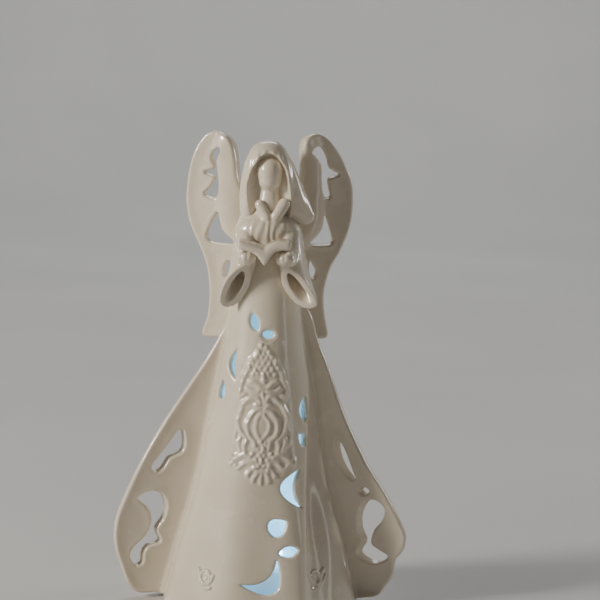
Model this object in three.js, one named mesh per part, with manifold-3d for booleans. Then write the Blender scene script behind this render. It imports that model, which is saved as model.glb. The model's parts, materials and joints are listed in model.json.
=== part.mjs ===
// Pierced porcelain angel with a pull-out battery light, in millimetres, +Z up.
// The angel faces -Y. The origin is the middle of the hem, on the table.
// Each cast piece is luted to its neighbour with a thin seam of slip, kept here as a small gap.
import * as THREE from 'three';
import { mergeVertices } from 'three/addons/utils/BufferGeometryUtils.js';
import Module from 'manifold-3d';

const wasm = await Module();
wasm.setup();

// Driving dimensions: gown, from the hem up; a rise is measured from the station below it
const seam = 0.3;
const wall = 3.2;
const hemWidth = 108;
const hemDepth = 92;
const ankleHeight = 30;
const ankleWidth = 91;
const ankleDepth = 79;
const kneeRise = 27;
const kneeWidth = 74.4;
const kneeDepth = 67;
const hipRise = 52;
const hipWidth = 53.2;
const hipDepth = 49;
const waistRise = 43;
const waistWidth = 37.8;
const waistDepth = 35;
const bustRise = 34;
const bustWidth = 30;
const bustDepth = 25;
const shoulderRise = 15;
const shoulderWidth = 27;
const shoulderDepth = 20;
const neckRise = 10;
const neckWidth = 11;
const foldCount = 8;
const foldDepth = 2.5;
const foldTurn = 28;
const cavityRise = 16;

// Driving dimensions: foot
const footHeight = 5;
const floorThickness = 4;

// Driving dimensions: side drapes
const drapeReach = 77.4;
const drapeThickness = 4;
const drapeRise = 6;
const drapeSweep = 12;
const drapeSet = 5;

// Driving dimensions: wings
const wingRise = 46.6;
const wingReach = 44.3;
const wingDrop = 13.5;
const wingThickness = 3.8;
const wingSet = 10;
const wingSweep = 11;
const wingLean = 0.05;
const wingRollWidth = 10;
const wingRollDepth = 7.6;

// Driving dimensions: head, hair and collar
const faceWidth = 14.6;
const faceDepth = 17;
const faceHeight = 20;
const faceForward = 3.5;
const faceRise = 15;
const faceTilt = 10;
const neckRadius = 4.6;
const crownRise = 18;
const hairDrop = 23;
const hairWidth = 30;
const hairDepth = 22;
const hairFlare = 8.5;
const hairOpening = 19;
const collarRadius = 2.6;
const collarSpread = 7.2;
const collarShift = 2.2;
const collarRise = 10.5;

// Driving dimensions: arms and book
const sleeveRadius = 5.8;
const sleeveWall = 2;
const armSpread = 8;
const elbowSpread = 12.8;
const elbowForward = 5.5;
const mouthSpread = 16.2;
const mouthForward = 17;
const mouthDrop = 17.5;
const mouthLength = 26;
const mouthWidth = 13.6;
const mouthPinch = 0.4;
const wristRadius = 2.8;
const palmReach = 9.4;
const palmLength = 10.4;
const palmWidth = 10;
const palmThickness = 6.6;
const fingerRadius = 1.5;
const fingerPitch = 2.1;
const bookSpan = 27.8;
const bookDepth = 15;
const bookThickness = 3.6;
const bookRise = 4;
const bookTilt = 3;
const bookForward = 23.2;
const bookLift = 4;
const bookShift = -0.9;

// Driving dimensions: applied reliefs
const reliefProud = 1;
const medallionHeight = 72;
const medallionWidth = 34;
const medallionBand = 2.2;
const rosetteRadius = 4.2;
const rosetteShare = 0.71;
const medallionRise = 10;
const hemSprigSize = 11;
const hemSprigRise = 3;
const leftSprigTurn = -36;
const rightSprigTurn = 41;

// Driving dimensions: battery light
const flangeThickness = 2.8;
const flangeLip = 3;
const flangeClearance = 1;
const gasketThickness = 1.2;
const gasketHeight = 3;
const coverWall = 1.6;
const coverClearance = 0.6;
const cellDiameter = 10.5;
const cellLength = 44.5;
const cellNubRadius = 1.9;
const cellNubLength = 1;
const cellCount = 3;
const cellGap = 0.5;
const plateThickness = 0.4;
const plateHeight = 8;
const tailWidth = 2;
const springLength = 4.2;
const springRadius = 2.6;
const springWire = 0.6;
const springTurns = 3;
const bayWall = 1.1;
const doorThickness = 1.5;
const doorMargin = 1.6;
const pinRadius = 0.5;
const pinLength = 1.5;
const leadRoom = 4.3;
const leadRadius = 0.6;
const boardRadius = 9.5;
const boardThickness = 1.4;
const ledRadius = 2.5;
const ledHeight = 8;
const lensRadius = 11;
const lensGap = 1.6;
const lensWall = 1.3;
const windowRadius = 7;
const screwRadius = 1.3;
const screwHeadRadius = 2.6;
const screwHeadHeight = 1.5;
const screwLength = 10;
const screwBossRadius = 2.9;
const screwSpacing = 28;
const switchLength = 13;
const switchWidth = 6.4;
const switchHeight = 5;
const knobLength = 4;
const knobWidth = 3;
const knobTravel = 4;
const knobClearance = 1;

// Faceting
const gownColumns = 48;
const gownRows = 16;
const cavityColumns = 24;
const cavityRows = 7;
const curveSteps = 4;
const splineSteps = 2;
const roundSides = 28;
const smallSides = 10;

const degrees = Math.PI / 180;

// Heights worked out from the rises
const kneeHeight = ankleHeight + kneeRise;
const hipHeight = kneeHeight + hipRise;
const waistHeight = hipHeight + waistRise;
const bustHeight = waistHeight + bustRise;
const shoulderHeight = bustHeight + shoulderRise;
const neckHeight = shoulderHeight + neckRise;
const cavityHeight = waistHeight + cavityRise;
const faceCentreHeight = neckHeight + faceRise;
const hairTopHeight = faceCentreHeight + crownRise;
const hairEndHeight = faceCentreHeight - hairDrop;
const wingTipHeight = shoulderHeight + wingRise;
const wingFoot = waistHeight - wingDrop;
const drapeTop = waistHeight + drapeRise;
const bookHeight = bustHeight + bookLift;
const palmHeight = bookHeight - bookThickness - 1.8;
const medallionFoot = kneeHeight + medallionRise;

// Battery light: layers from the flange up, and radii from the bay out
const cellPitch = cellDiameter + cellGap;
const flangeTop = footHeight - seam;
const flangeLow = flangeTop - flangeThickness;
const coverLow = flangeTop + seam;
const cellHeight = coverLow + cellDiameter / 2;
const bayLength = cellLength + springLength + 2 * plateThickness + 5 * seam;
const bayWidth = cellPitch * cellCount + seam;
const bayCeiling = cellHeight + cellDiameter / 2 + seam;
const bayTop = bayCeiling + bayWall;
const boardLow = bayTop + leadRoom;
const boardTop = boardLow + boardThickness;
const coverCeiling = boardTop + seam;
const coverTop = coverCeiling + coverWall;
const lensLow = coverTop + seam;
const lensHeight = boardTop + seam + ledHeight + lensGap + lensWall - lensLow;
const bayCorner = Math.hypot(bayLength / 2 + bayWall, bayWidth / 2 + bayWall);
const coverRadius = bayCorner + coverClearance + coverWall;
const socketRadius = coverRadius + gasketThickness + 2 * seam;
const flangeRadius = socketRadius + flangeLip;
const doorLength = bayLength + 2 * doorMargin;
const doorWidth = bayWidth + 2 * doorMargin;
const hingeX = doorLength / 2 - doorThickness / 2;
const hingeZ = flangeLow + doorThickness / 2;
const sideRoom = coverRadius - coverWall - bayWidth / 2 - bayWall;
const switchY = -(coverRadius - coverWall - sideRoom / 2);
const screwX = screwSpacing / 2;
const screwY = bayWidth / 2 + bayWall + screwBossRadius + screwHeadRadius + seam;
const screwSpots = [[-screwX, -screwY], [screwX, -screwY], [-screwX, screwY], [screwX, screwY]];
const cellRows = Array.from({ length: cellCount }, (_, k) => (k - (cellCount - 1) / 2) * cellPitch);
const tailX = bayLength / 2 - seam - plateThickness / 2;
const tailTop = bayTop + 2 * leadRadius + seam;

// Materials
function finish(color, roughness, metalness = 0) {
  return new THREE.MeshStandardMaterial({ color, roughness, metalness });
}
const porcelain = finish(0xe9e4da, 0.12);
const whitePlastic = finish(0xeceae4, 0.45);
const frostedPlastic = finish(0xdfeaf2, 0.6);
const siliconeRubber = finish(0xd8d6d0, 0.7);
const boardGreen = finish(0x2f6b46, 0.5);
const ledEpoxy = finish(0xe6f3ff, 0.15);
const cellJacket = finish(0x2c5f9e, 0.35);
const nickel = finish(0xb9b8b2, 0.3, 1);
const blackPlastic = finish(0x1c1c1d, 0.4);
const redWire = finish(0xa82a22, 0.5);
const blackWire = finish(0x1a1a1a, 0.5);
const whiteWire = finish(0xdcdad2, 0.5);

const figurine = new THREE.Group();

function addPiece(name, material, shape) {
  const geometry = shape.isBufferGeometry ? shape : geometryOf(shape);
  const mesh = new THREE.Mesh(geometry, material);
  mesh.name = name;
  figurine.add(mesh);
}

// Closed mesh to solid, with faces turned outwards
function solidOf(geometry) {
  const bare = new THREE.BufferGeometry();
  bare.setAttribute('position', geometry.getAttribute('position').clone());
  if (geometry.index) bare.setIndex(geometry.index.clone());
  const merged = mergeVertices(bare, 1e-4);
  const corners = merged.index.array;
  const triangles = [];
  for (let i = 0; i < corners.length; i += 3) {
    const [a, b, c] = [corners[i], corners[i + 1], corners[i + 2]];
    if (a !== b && b !== c && c !== a) triangles.push(a, b, c);
  }
  const vertProperties = merged.getAttribute('position').array;
  const made = new wasm.Manifold(
    new wasm.Mesh({ numProp: 3, vertProperties, triVerts: new Uint32Array(triangles) }),
  );
  if (made.volume() > 0) return made;
  return new wasm.Manifold(
    new wasm.Mesh({ numProp: 3, vertProperties, triVerts: new Uint32Array(triangles.reverse()) }),
  );
}

function geometryOf(solid) {
  const mesh = solid.getMesh();
  const geometry = new THREE.BufferGeometry();
  geometry.setAttribute('position', new THREE.BufferAttribute(mesh.vertProperties, mesh.numProp));
  geometry.setIndex(new THREE.BufferAttribute(mesh.triVerts, 1));
  geometry.computeVertexNormals();
  return geometry;
}

function joined(...solids) {
  return solids.reduce((whole, next) => whole.add(next));
}

// The piece itself, without the offcuts that trimming leaves behind
function trimmed(solid) {
  return solid.decompose().reduce((best, body) => (body.volume() > best.volume() ? body : best));
}

function meshGeometry(points, faces) {
  const geometry = new THREE.BufferGeometry().setFromPoints(points);
  geometry.setIndex(faces);
  return geometry;
}

// Skin over rings of equal point count, closed at both ends
function loft(rings) {
  const around = rings[0].length;
  const points = rings.flat();
  const faces = [];
  for (let i = 0; i < rings.length - 1; i++) {
    for (let j = 0; j < around; j++) {
      const a = i * around + j;
      const b = i * around + ((j + 1) % around);
      faces.push(a, b, b + around, a, b + around, a + around);
    }
  }
  const last = (rings.length - 1) * around;
  const middle = (ring) => ring.reduce((sum, p) => sum.add(p), new THREE.Vector3()).divideScalar(around);
  const footCentre = points.push(middle(rings[0])) - 1;
  const headCentre = points.push(middle(rings.at(-1))) - 1;
  for (let j = 0; j < around; j++) {
    const k = (j + 1) % around;
    faces.push(footCentre, k, j, headCentre, last + j, last + k);
  }
  return solidOf(meshGeometry(points, faces));
}

// Sheet with a front and a back face over a grid; pointAt takes u, v and face 0 or 1
function slab(across, up, pointAt) {
  const points = [];
  const faces = [];
  const at = (face, i, j) => (face * (up + 1) + j) * (across + 1) + i;
  const quad = (a, b, c, d) => faces.push(a, b, c, a, c, d);
  for (const face of [0, 1]) {
    for (let j = 0; j <= up; j++) {
      for (let i = 0; i <= across; i++) points.push(pointAt(i / across, j / up, face));
    }
  }
  for (let j = 0; j < up; j++) {
    for (let i = 0; i < across; i++) {
      quad(at(0, i, j), at(0, i + 1, j), at(0, i + 1, j + 1), at(0, i, j + 1));
      quad(at(1, i, j), at(1, i, j + 1), at(1, i + 1, j + 1), at(1, i + 1, j));
    }
    quad(at(0, 0, j), at(0, 0, j + 1), at(1, 0, j + 1), at(1, 0, j));
    quad(at(0, across, j), at(1, across, j), at(1, across, j + 1), at(0, across, j + 1));
  }
  for (let i = 0; i < across; i++) {
    quad(at(0, i, 0), at(1, i, 0), at(1, i + 1, 0), at(0, i + 1, 0));
    quad(at(0, i, up), at(0, i + 1, up), at(1, i + 1, up), at(1, i, up));
  }
  return solidOf(meshGeometry(points, faces));
}

// Flat shape drawn in X and Z, extruded along Y between two depths
function frontPrism(shape, near, far) {
  const geometry = new THREE.ExtrudeGeometry(shape, {
    depth: far - near,
    bevelEnabled: false,
    curveSegments: curveSteps,
  });
  return solidOf(geometry.rotateX(Math.PI / 2).translate(0, far, 0));
}

// Profile of [radius, height] turned about +Z
function revolve(profile, sides = roundSides) {
  const points = profile.map(([radius, height]) => new THREE.Vector2(radius, height));
  return solidOf(new THREE.LatheGeometry(points, sides).rotateX(Math.PI / 2));
}

function disc(radius, low, high, sides = roundSides) {
  return revolve([[0, low], [radius, low], [radius, high], [0, high]], sides);
}

function box(lengthX, lengthY, low, high, x = 0, y = 0) {
  const geometry = new THREE.BoxGeometry(lengthX, lengthY, high - low);
  return solidOf(geometry.translate(x, y, (low + high) / 2));
}

function moved(solid, x, y, z = 0) {
  const geometry = geometryOf(solid);
  return solidOf(geometry.translate(x, y, z));
}

// Round bar along a curve
function tube(curve, radius, steps, sides) {
  const section = new THREE.Shape();
  section.absarc(0, 0, radius, 0, 2 * Math.PI);
  const options = { steps, extrudePath: curve, bevelEnabled: false, curveSegments: sides };
  return solidOf(new THREE.ExtrudeGeometry(section, options));
}

function along(...points) {
  return new THREE.CatmullRomCurve3(points.map(([x, y, z]) => new THREE.Vector3(x, y, z)));
}

// Closed spline through points given as [across, up]
function splineShape(points, side = 1) {
  const nodes = points.map(([x, z]) => new THREE.Vector3(side * x, z, 0));
  const curve = new THREE.CatmullRomCurve3(nodes, true, 'centripetal');
  const steps = points.length * splineSteps;
  return new THREE.Shape(curve.getPoints(steps).slice(0, steps).map((p) => new THREE.Vector2(p.x, p.y)));
}

// Smooth value at a height between stations of [height, value]
function between(stations, height) {
  const last = stations.length - 1;
  if (height <= stations[0][0]) return stations[0][1];
  if (height >= stations[last][0]) return stations[last][1];
  const i = stations.findIndex(([z]) => z > height) - 1;
  const slope = (k) => {
    const [z0, v0] = stations[Math.max(k - 1, 0)];
    const [z1, v1] = stations[Math.min(k + 1, last)];
    return (v1 - v0) / (z1 - z0);
  };
  const [zLow, vLow] = stations[i];
  const [zHigh, vHigh] = stations[i + 1];
  const span = zHigh - zLow;
  const t = (height - zLow) / span;
  const bend = t * t * (3 - 2 * t);
  const leave = t * (1 - t) * (1 - t) * span * slope(i);
  const arrive = t * t * (t - 1) * span * slope(i + 1);
  return vLow + (vHigh - vLow) * bend + leave + arrive;
}

// Gown: hollow cone of folds that narrows to the bust and closes at the neck
const gownWidths = [
  [0, hemWidth / 2],
  [ankleHeight, ankleWidth / 2],
  [kneeHeight, kneeWidth / 2],
  [hipHeight, hipWidth / 2],
  [waistHeight, waistWidth / 2],
  [bustHeight, bustWidth / 2],
  [shoulderHeight, shoulderWidth / 2],
  [neckHeight, neckWidth / 2],
];
const gownDepths = [
  [0, hemDepth / 2],
  [ankleHeight, ankleDepth / 2],
  [kneeHeight, kneeDepth / 2],
  [hipHeight, hipDepth / 2],
  [waistHeight, waistDepth / 2],
  [bustHeight, bustDepth / 2],
  [shoulderHeight, shoulderDepth / 2],
  [neckHeight, neckWidth / 2],
];

// Point on the gown; the angle is 0 at the front and grows towards +X
function gownPoint(angle, height, offset = 0) {
  const fade = Math.max(0, 1 - height / hipHeight) ** 1.3;
  const fold = (foldDepth * fade * (1 - Math.cos(foldCount * (angle - foldTurn * degrees)))) / 2;
  const across = between(gownWidths, height) + offset - fold;
  const deep = between(gownDepths, height) + offset - fold;
  return new THREE.Vector3(across * Math.sin(angle), -deep * Math.cos(angle), height);
}

function gownRing(height, offset, columns = gownColumns) {
  return Array.from({ length: columns }, (_, j) => gownPoint((2 * Math.PI * j) / columns, height, offset));
}

// The gown's outside as a full solid, grown by an offset
function gownBody(offset = 0) {
  const rings = [];
  for (let i = 0; i <= gownRows; i++) {
    const t = i / gownRows;
    rings.push(gownRing(neckHeight * (1 - (1 - t) ** 1.4), offset));
  }
  rings.at(-1).forEach((point) => (point.z += offset));
  return loft(rings);
}

function gownCavity() {
  const low = footHeight + floorThickness;
  const dome = waistHeight;
  const rings = [];
  for (let i = 0; i <= cavityRows; i++) {
    rings.push(gownRing(low + ((dome - low) * i) / cavityRows, -wall, cavityColumns));
  }
  const top = rings.at(-1);
  for (const t of [0.5, 0.85, 1]) {
    const shrink = Math.sqrt(1 - 0.97 * t * t);
    const lift = (cavityHeight - dome) * t;
    rings.push(top.map((p) => new THREE.Vector3(p.x * shrink, p.y * shrink, dome + lift)));
  }
  return loft(rings);
}

// Shapes of the piercings, drawn upright about their middle
function crescent(length, bow, band) {
  const shape = new THREE.Shape();
  shape.moveTo(0, length / 2);
  shape.quadraticCurveTo(-2 * bow, 0, 0, -length / 2);
  shape.quadraticCurveTo(-2 * (bow - band), 0, 0, length / 2);
  return shape;
}

function leaf(length, width) {
  const shape = new THREE.Shape();
  shape.moveTo(0, length / 2);
  shape.quadraticCurveTo(width, 0, 0, -length / 2);
  shape.quadraticCurveTo(-width, 0, 0, length / 2);
  return shape;
}

function drop(length, width) {
  const shape = new THREE.Shape();
  const belly = -0.15 * length;
  shape.moveTo(0, length / 2);
  shape.bezierCurveTo(width * 0.15, length * 0.2, width / 2, length * 0.1, width / 2, belly);
  shape.bezierCurveTo(width / 2, -length * 0.4, width * 0.3, -length / 2, 0, -length / 2);
  shape.bezierCurveTo(-width * 0.3, -length / 2, -width / 2, -length * 0.4, -width / 2, belly);
  shape.bezierCurveTo(-width / 2, length * 0.1, -width * 0.15, length * 0.2, 0, length / 2);
  return shape;
}

function oval(length, width) {
  const shape = new THREE.Shape();
  shape.absellipse(0, 0, width / 2, length / 2, 0, 2 * Math.PI);
  return shape;
}

// Each piercing: its shape, the angle round the gown, its height and its turn
const piercings = [
  [leaf(10, 5), -17, 151, 20],
  [oval(4.2, 6.5), 6, 145, 0],
  [crescent(15, 5.5, 4.2), -39, 129, 6],
  [drop(10, 6), -60, 115, 8],
  [crescent(14, 4.8, 4.2), 60, 105, 0],
  [drop(7, 5.5), 46, 91, 40],
  [crescent(19, 9.5, 5.6), 35, 66, -6],
  [drop(10.5, 9), 14.5, 47.5, -60],
  [leaf(11, 5.4), 21, 35, -80],
  [crescent(24, 9, 6.2), 2, 21.5, 135],
];

function piercer([shape, angleDegrees, height, turnDegrees]) {
  const angle = angleDegrees * degrees;
  const step = 0.5;
  const point = gownPoint(angle, height);
  const up = gownPoint(angle, height + step).sub(gownPoint(angle, height - step)).normalize();
  const across = new THREE.Vector3(Math.cos(angle), Math.sin(angle), 0);
  const outward = new THREE.Vector3().crossVectors(across, up).normalize();
  const upright = new THREE.Vector3().crossVectors(outward, across);
  const reach = 2 * wall;
  const geometry = new THREE.ExtrudeGeometry(shape, {
    depth: 2 * reach,
    bevelEnabled: false,
    curveSegments: curveSteps,
  });
  geometry.translate(0, 0, -reach).rotateZ(turnDegrees * degrees);
  geometry.applyMatrix4(new THREE.Matrix4().makeBasis(across, upright, outward).setPosition(point));
  return solidOf(geometry);
}

function footRecess() {
  return disc(flangeRadius + flangeClearance, -1, footHeight, roundSides * 2);
}

function gown() {
  const socket = disc(socketRadius, 0, footHeight + floorThickness + 1, roundSides * 2);
  const shell = gownBody().subtract(gownCavity()).subtract(footRecess()).subtract(socket);
  return piercings.reduce((made, cut) => made.subtract(piercer(cut)), shell);
}
addPiece('gown', porcelain, gown());
const gownSeat = gownBody(seam);

// Sleeves: upper arms that open into long hanging bells in front of the waist
const armPath = along(
  [armSpread, -1, shoulderHeight + 2],
  [(armSpread + 2 * elbowSpread) / 3 + 0.6, -1.5, (shoulderHeight + bustHeight) / 2 + 2.5],
  [elbowSpread, -elbowForward, bustHeight + 1.5],
  [
    (elbowSpread + mouthSpread) / 2 - 0.5,
    -(elbowForward + mouthForward) / 2,
    bustHeight - mouthDrop / 2 + 0.8,
  ],
  [mouthSpread, -mouthForward, bustHeight - mouthDrop],
);
const mouthAcross = new THREE.Vector3(0.9, -0.4, 0.3).normalize();

// The right bell swings out further than the left one
function mouthDown(side) {
  return new THREE.Vector3(side < 0 ? 0.38 : 0.5, 0.3, -0.86).normalize();
}

// Ellipse that is pinched towards its start
function bellRing(centre, axisDown, axisAcross, pinch, sides) {
  return Array.from({ length: sides }, (_, j) => {
    const angle = (2 * Math.PI * j) / sides;
    const narrow = 1 - pinch * Math.max(0, -Math.cos(angle)) ** 2;
    const point = centre.clone().addScaledVector(axisDown, Math.cos(angle));
    return point.addScaledVector(axisAcross, Math.sin(angle) * narrow);
  });
}

// Ring along the arm at t from 0 at the shoulder to 1 at the mouth
function sleeveRing(side, t, shrink) {
  const bell = t * t * (3 - 2 * t);
  const round = sleeveRadius * (1.14 - 0.2 * t);
  const longer = (mouthLength / 2) * bell + round * (1 - bell) - shrink;
  const wider = (mouthWidth / 2) * bell + round * (1 - bell) - shrink;
  const down = new THREE.Vector3(0, 1, -0.45).normalize().lerp(mouthDown(side), bell).normalize();
  const across = new THREE.Vector3(1, 0, 0.2).normalize().lerp(mouthAcross, bell).normalize();
  const centre = armPath.getPoint(t);
  down.multiplyScalar(longer);
  across.multiplyScalar(wider);
  const ring = bellRing(centre, down, across, mouthPinch * bell, 14);
  return ring.map((p) => new THREE.Vector3(side * p.x, p.y, p.z));
}

function sleeveBody(side, grow) {
  return loft([0, 0.2, 0.4, 0.6, 0.8, 1].map((t) => sleeveRing(side, t, -grow)));
}

function sleeveHollow(side) {
  const rings = [0.62, 0.8, 1].map((t) => sleeveRing(side, t, sleeveWall));
  const outward = new THREE.Vector3().crossVectors(mouthDown(side), mouthAcross).multiplyScalar(sleeveWall);
  if (outward.y > 0) outward.negate();
  outward.x *= side;
  return loft([...rings, rings.at(-1).map((p) => p.clone().add(outward))]);
}

function forearm(side, radius) {
  const start = new THREE.Vector3(side * (elbowSpread + 1.5), -elbowForward - 3.5, bustHeight - 2.5);
  const wrist = new THREE.Vector3(side * palmReach, -bookForward + 1, palmHeight - 0.6);
  return tube(new THREE.LineCurve3(start, wrist), radius, 1, smallSides / 4);
}

function sleeve(side) {
  const shell = sleeveBody(side, 0).subtract(sleeveHollow(side));
  return trimmed(shell.subtract(forearm(side, wristRadius + seam)).subtract(gownSeat));
}
const sleeveSeats = [-1, 1].map((side) => sleeveBody(side, seam));
addPiece('left_sleeve', porcelain, sleeve(-1));
addPiece('right_sleeve', porcelain, sleeve(1));

// Book: two curved leaves that rise from the fold between them, held level
function bookBody(grow) {
  const half = bookSpan / 2 + grow;
  const crest = bookRise;
  const thick = bookThickness + grow;
  const profile = new THREE.Shape();
  profile.moveTo(0, grow);
  profile.bezierCurveTo(half * 0.25, crest * 1.1, half * 0.6, crest * 1.25 + grow, half, crest + grow);
  profile.lineTo(half, crest - thick);
  profile.bezierCurveTo(half * 0.6, crest * 1.2 - thick, half * 0.25, crest - thick, 0, -thick - 0.8);
  profile.bezierCurveTo(-half * 0.25, crest - thick, -half * 0.6, crest * 1.2 - thick, -half, crest - thick);
  profile.lineTo(-half, crest + grow);
  profile.bezierCurveTo(-half * 0.6, crest * 1.25 + grow, -half * 0.25, crest * 1.1, 0, grow);
  const geometry = new THREE.ExtrudeGeometry(profile, {
    depth: bookDepth + 2 * grow,
    bevelEnabled: false,
    curveSegments: curveSteps,
  });
  geometry.translate(0, 0, -bookDepth / 2 - grow).rotateX(Math.PI / 2 - bookTilt * degrees);
  return solidOf(geometry.translate(bookShift, -bookForward, bookHeight));
}
function openBook() {
  return trimmed(sleeveSeats.reduce((made, seat) => made.subtract(seat), bookBody(0).subtract(gownSeat)));
}
addPiece('open_book', porcelain, openBook());

// Hands: palms under the book with the fingers curled forward
function capsule(from, to, radius) {
  const start = new THREE.Vector3(...from);
  const span = new THREE.Vector3(...to).sub(start);
  const geometry = new THREE.CapsuleGeometry(radius, span.length(), 2, 6);
  const upright = new THREE.Vector3(0, 1, 0);
  const turn = new THREE.Quaternion().setFromUnitVectors(upright, span.clone().normalize());
  return solidOf(geometry.applyQuaternion(turn).translate(...start.addScaledVector(span, 0.5).toArray()));
}

function hand(side) {
  const palm = new THREE.SphereGeometry(1, 10, 6).scale(palmWidth / 2, palmLength / 2, palmThickness / 2);
  palm.translate(side * palmReach, -bookForward - 0.5, palmHeight);
  const fingers = [0, 1, 2, 3].map((k) => {
    const across = side * (palmReach + (k - 1.5) * fingerPitch);
    const front = -bookForward - palmLength / 2;
    const knuckle = [across, front + 2, palmHeight - 1.4];
    return capsule(knuckle, [across - side * 0.6, front - 0.8 + 0.3 * k, palmHeight + 1], fingerRadius);
  });
  const whole = joined(solidOf(palm), forearm(side, wristRadius), ...fingers);
  return trimmed(whole.subtract(bookBody(seam)).subtract(gownSeat));
}
addPiece('left_hand', porcelain, hand(-1));
addPiece('right_hand', porcelain, hand(1));

// Head: smooth egg on a short neck, bowed towards the book
function headBody(grow) {
  const egg = new THREE.SphereGeometry(1, 16, 12);
  egg.scale(faceWidth / 2 + grow, faceDepth / 2 + grow, faceHeight / 2 + grow).rotateX(faceTilt * degrees);
  egg.translate(0, -faceForward, faceCentreHeight);
  const neck = disc(neckRadius + grow, neckHeight + seam, faceCentreHeight, smallSides);
  return joined(solidOf(egg), neck);
}
addPiece('head', porcelain, headBody(0));

// Hair: parted hood that frames the face and falls to the shoulders, flipped out on one side
const hairWidths = [
  [hairEndHeight, hairWidth * 0.56],
  [hairEndHeight + 13, hairWidth * 0.53],
  [hairEndHeight + 23, hairWidth / 2],
  [hairEndHeight + 32, hairWidth * 0.4],
  [hairTopHeight - 2.5, hairWidth * 0.22],
  [hairTopHeight, hairWidth * 0.05],
];
const hairDepths = [
  [hairEndHeight, hairDepth * 0.34],
  [hairEndHeight + 13, hairDepth * 0.46],
  [hairEndHeight + 23, hairDepth / 2],
  [hairEndHeight + 32, hairDepth * 0.46],
  [hairTopHeight - 2.5, hairDepth * 0.27],
  [hairTopHeight, hairDepth * 0.05],
];

function hairBody(grow) {
  const rows = 9;
  const columns = 20;
  const rings = [];
  for (let i = 0; i <= rows; i++) {
    const height = hairEndHeight + (hairTopHeight - hairEndHeight) * (1 - (1 - i / rows) ** 1.6);
    const across = between(hairWidths, height) + grow;
    const deep = between(hairDepths, height) + grow;
    const flip = hairFlare * Math.max(0, 1 - (height - hairEndHeight) / 26) ** 2;
    rings.push(
      Array.from({ length: columns }, (_, j) => {
        const angle = (2 * Math.PI * j) / columns;
        const flare = flip * Math.max(0, Math.sin(angle));
        return new THREE.Vector3((across + flare) * Math.sin(angle), -1 - deep * Math.cos(angle), height);
      }),
    );
  }
  return loft(rings);
}

function hairOpeningCut() {
  const half = hairOpening / 2;
  const arch = new THREE.Shape();
  const peak = faceCentreHeight + 12;
  const low = hairEndHeight - 4;
  arch.moveTo(0, peak);
  arch.bezierCurveTo(half * 0.7, peak - 4, half * 1.1, faceCentreHeight, half, faceCentreHeight - 10);
  arch.lineTo(half * 1.25, low);
  arch.lineTo(-half * 0.9, low);
  arch.lineTo(-half, faceCentreHeight - 10);
  arch.bezierCurveTo(-half * 1.1, faceCentreHeight, -half * 0.7, peak - 4, 0, peak);
  return frontPrism(arch, -hairDepth, -2);
}

function hair() {
  const hood = hairBody(0).subtract(headBody(seam)).subtract(hairOpeningCut()).subtract(gownSeat);
  return trimmed(sleeveSeats.reduce((made, seat) => made.subtract(seat), hood));
}
addPiece('hair', porcelain, hair());
const hairSeat = hairBody(seam);

// Collar: two rolled lapels that meet in a V on the chest
function hairShell() {
  return hairBody(seam).subtract(hairOpeningCut());
}

function collar() {
  const front = -shoulderDepth / 2 - 0.6;
  const rolls = [-1, 1].map((side) => {
    const path = along(
      [collarShift, front, shoulderHeight + 0.8],
      [collarShift + side * collarSpread * 0.55, front, shoulderHeight + collarRise * 0.5],
      [collarShift + side * collarSpread, front + 1.6, shoulderHeight + collarRise],
    );
    return tube(path, collarRadius, 6, 3);
  });
  const clear = [gownSeat, hairShell(), headBody(seam), ...sleeveSeats];
  return trimmed(clear.reduce((made, seat) => made.subtract(seat), joined(...rolls)));
}
addPiece('collar', porcelain, collar());

// Side drapes: sheets that spread from the waist to the table and curve forward, pierced with scrolls
function drapeDepth(across) {
  const out = Math.max(0, across - waistWidth / 2) / (drapeReach - waistWidth / 2);
  return drapeSet - drapeSweep * out ** 1.4;
}

// Edges and openings of the drapes, in hundredths of the reach and of the height
const leftDrapeEdge = [
  [15.5, 99.4], [23.8, 99.7], [27.6, 92.7], [40.7, 80.6], [65.2, 62],
  [81.5, 47.8], [95.9, 31.8], [100, 23.4],
  [98.7, 16.2], [96.1, 12.2], [90.4, 4.8], [83.6, 1.7], [73.6, 1.5],
  [51.7, 1.5], [36.2, 36.1], [20.7, 69.6],
];
const rightDrapeEdge = [
  [15.5, 99.4], [27.6, 100], [32.6, 96.2], [35.7, 89.2], [45, 77.9],
  [56.1, 63.4], [72.1, 47.7], [86.2, 37.2],
  [97, 27.2], [100, 23.4], [98.3, 18.8], [93.4, 15.3], [92.1, 9.9], [86.6, 5.7], [82, 2.7], [73.6, 1.5],
  [51.7, 1.5], [36.2, 36.1], [20.7, 69.6],
];
const wedgeCut = [
  [56.3, 57.3], [53.7, 52.8], [55.8, 49.6], [63.6, 47.7], [68.1, 44.1],
  [73.3, 42.8], [75.1, 45.2], [66, 51.3],
];
const scrollCut = [
  [84.2, 34.2], [76, 36.4], [68.9, 35.3], [65.5, 32], [66.8, 27.4], [71.7, 23.2], [69.1, 19.1], [77, 17.6],
  [80.2, 15.1], [80.9, 11.8], [85.4, 11], [88.9, 14], [86.6, 17.2], [78.8, 21], [75.1, 25.6], [76.1, 29.5],
  [80.4, 32.2],
];
const slitCut = [
  [51.4, 55.4], [56.6, 51.6], [61.9, 45.3], [64.5, 42.2], [59.9, 42.3], [54, 46.4], [50.3, 51.5],
];
const beanCut = [[66.4, 38], [70.3, 39.5], [74.2, 38.3], [70.3, 36.8]];
const swirlCut = [
  [78.8, 35.2], [71.7, 34.6], [67.2, 30.5], [67.2, 25.3], [70.5, 20.8],
  [67.3, 16.6], [74.4, 14.1], [82.2, 14.1],
  [88, 16.3], [81.5, 18.3], [76.4, 20.4], [78.2, 25.1], [83.3, 28.5], [84.6, 32.5],
];
const onDrape = ([across, up]) => [(drapeReach * across) / 100, (drapeTop * up) / 100];

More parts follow.
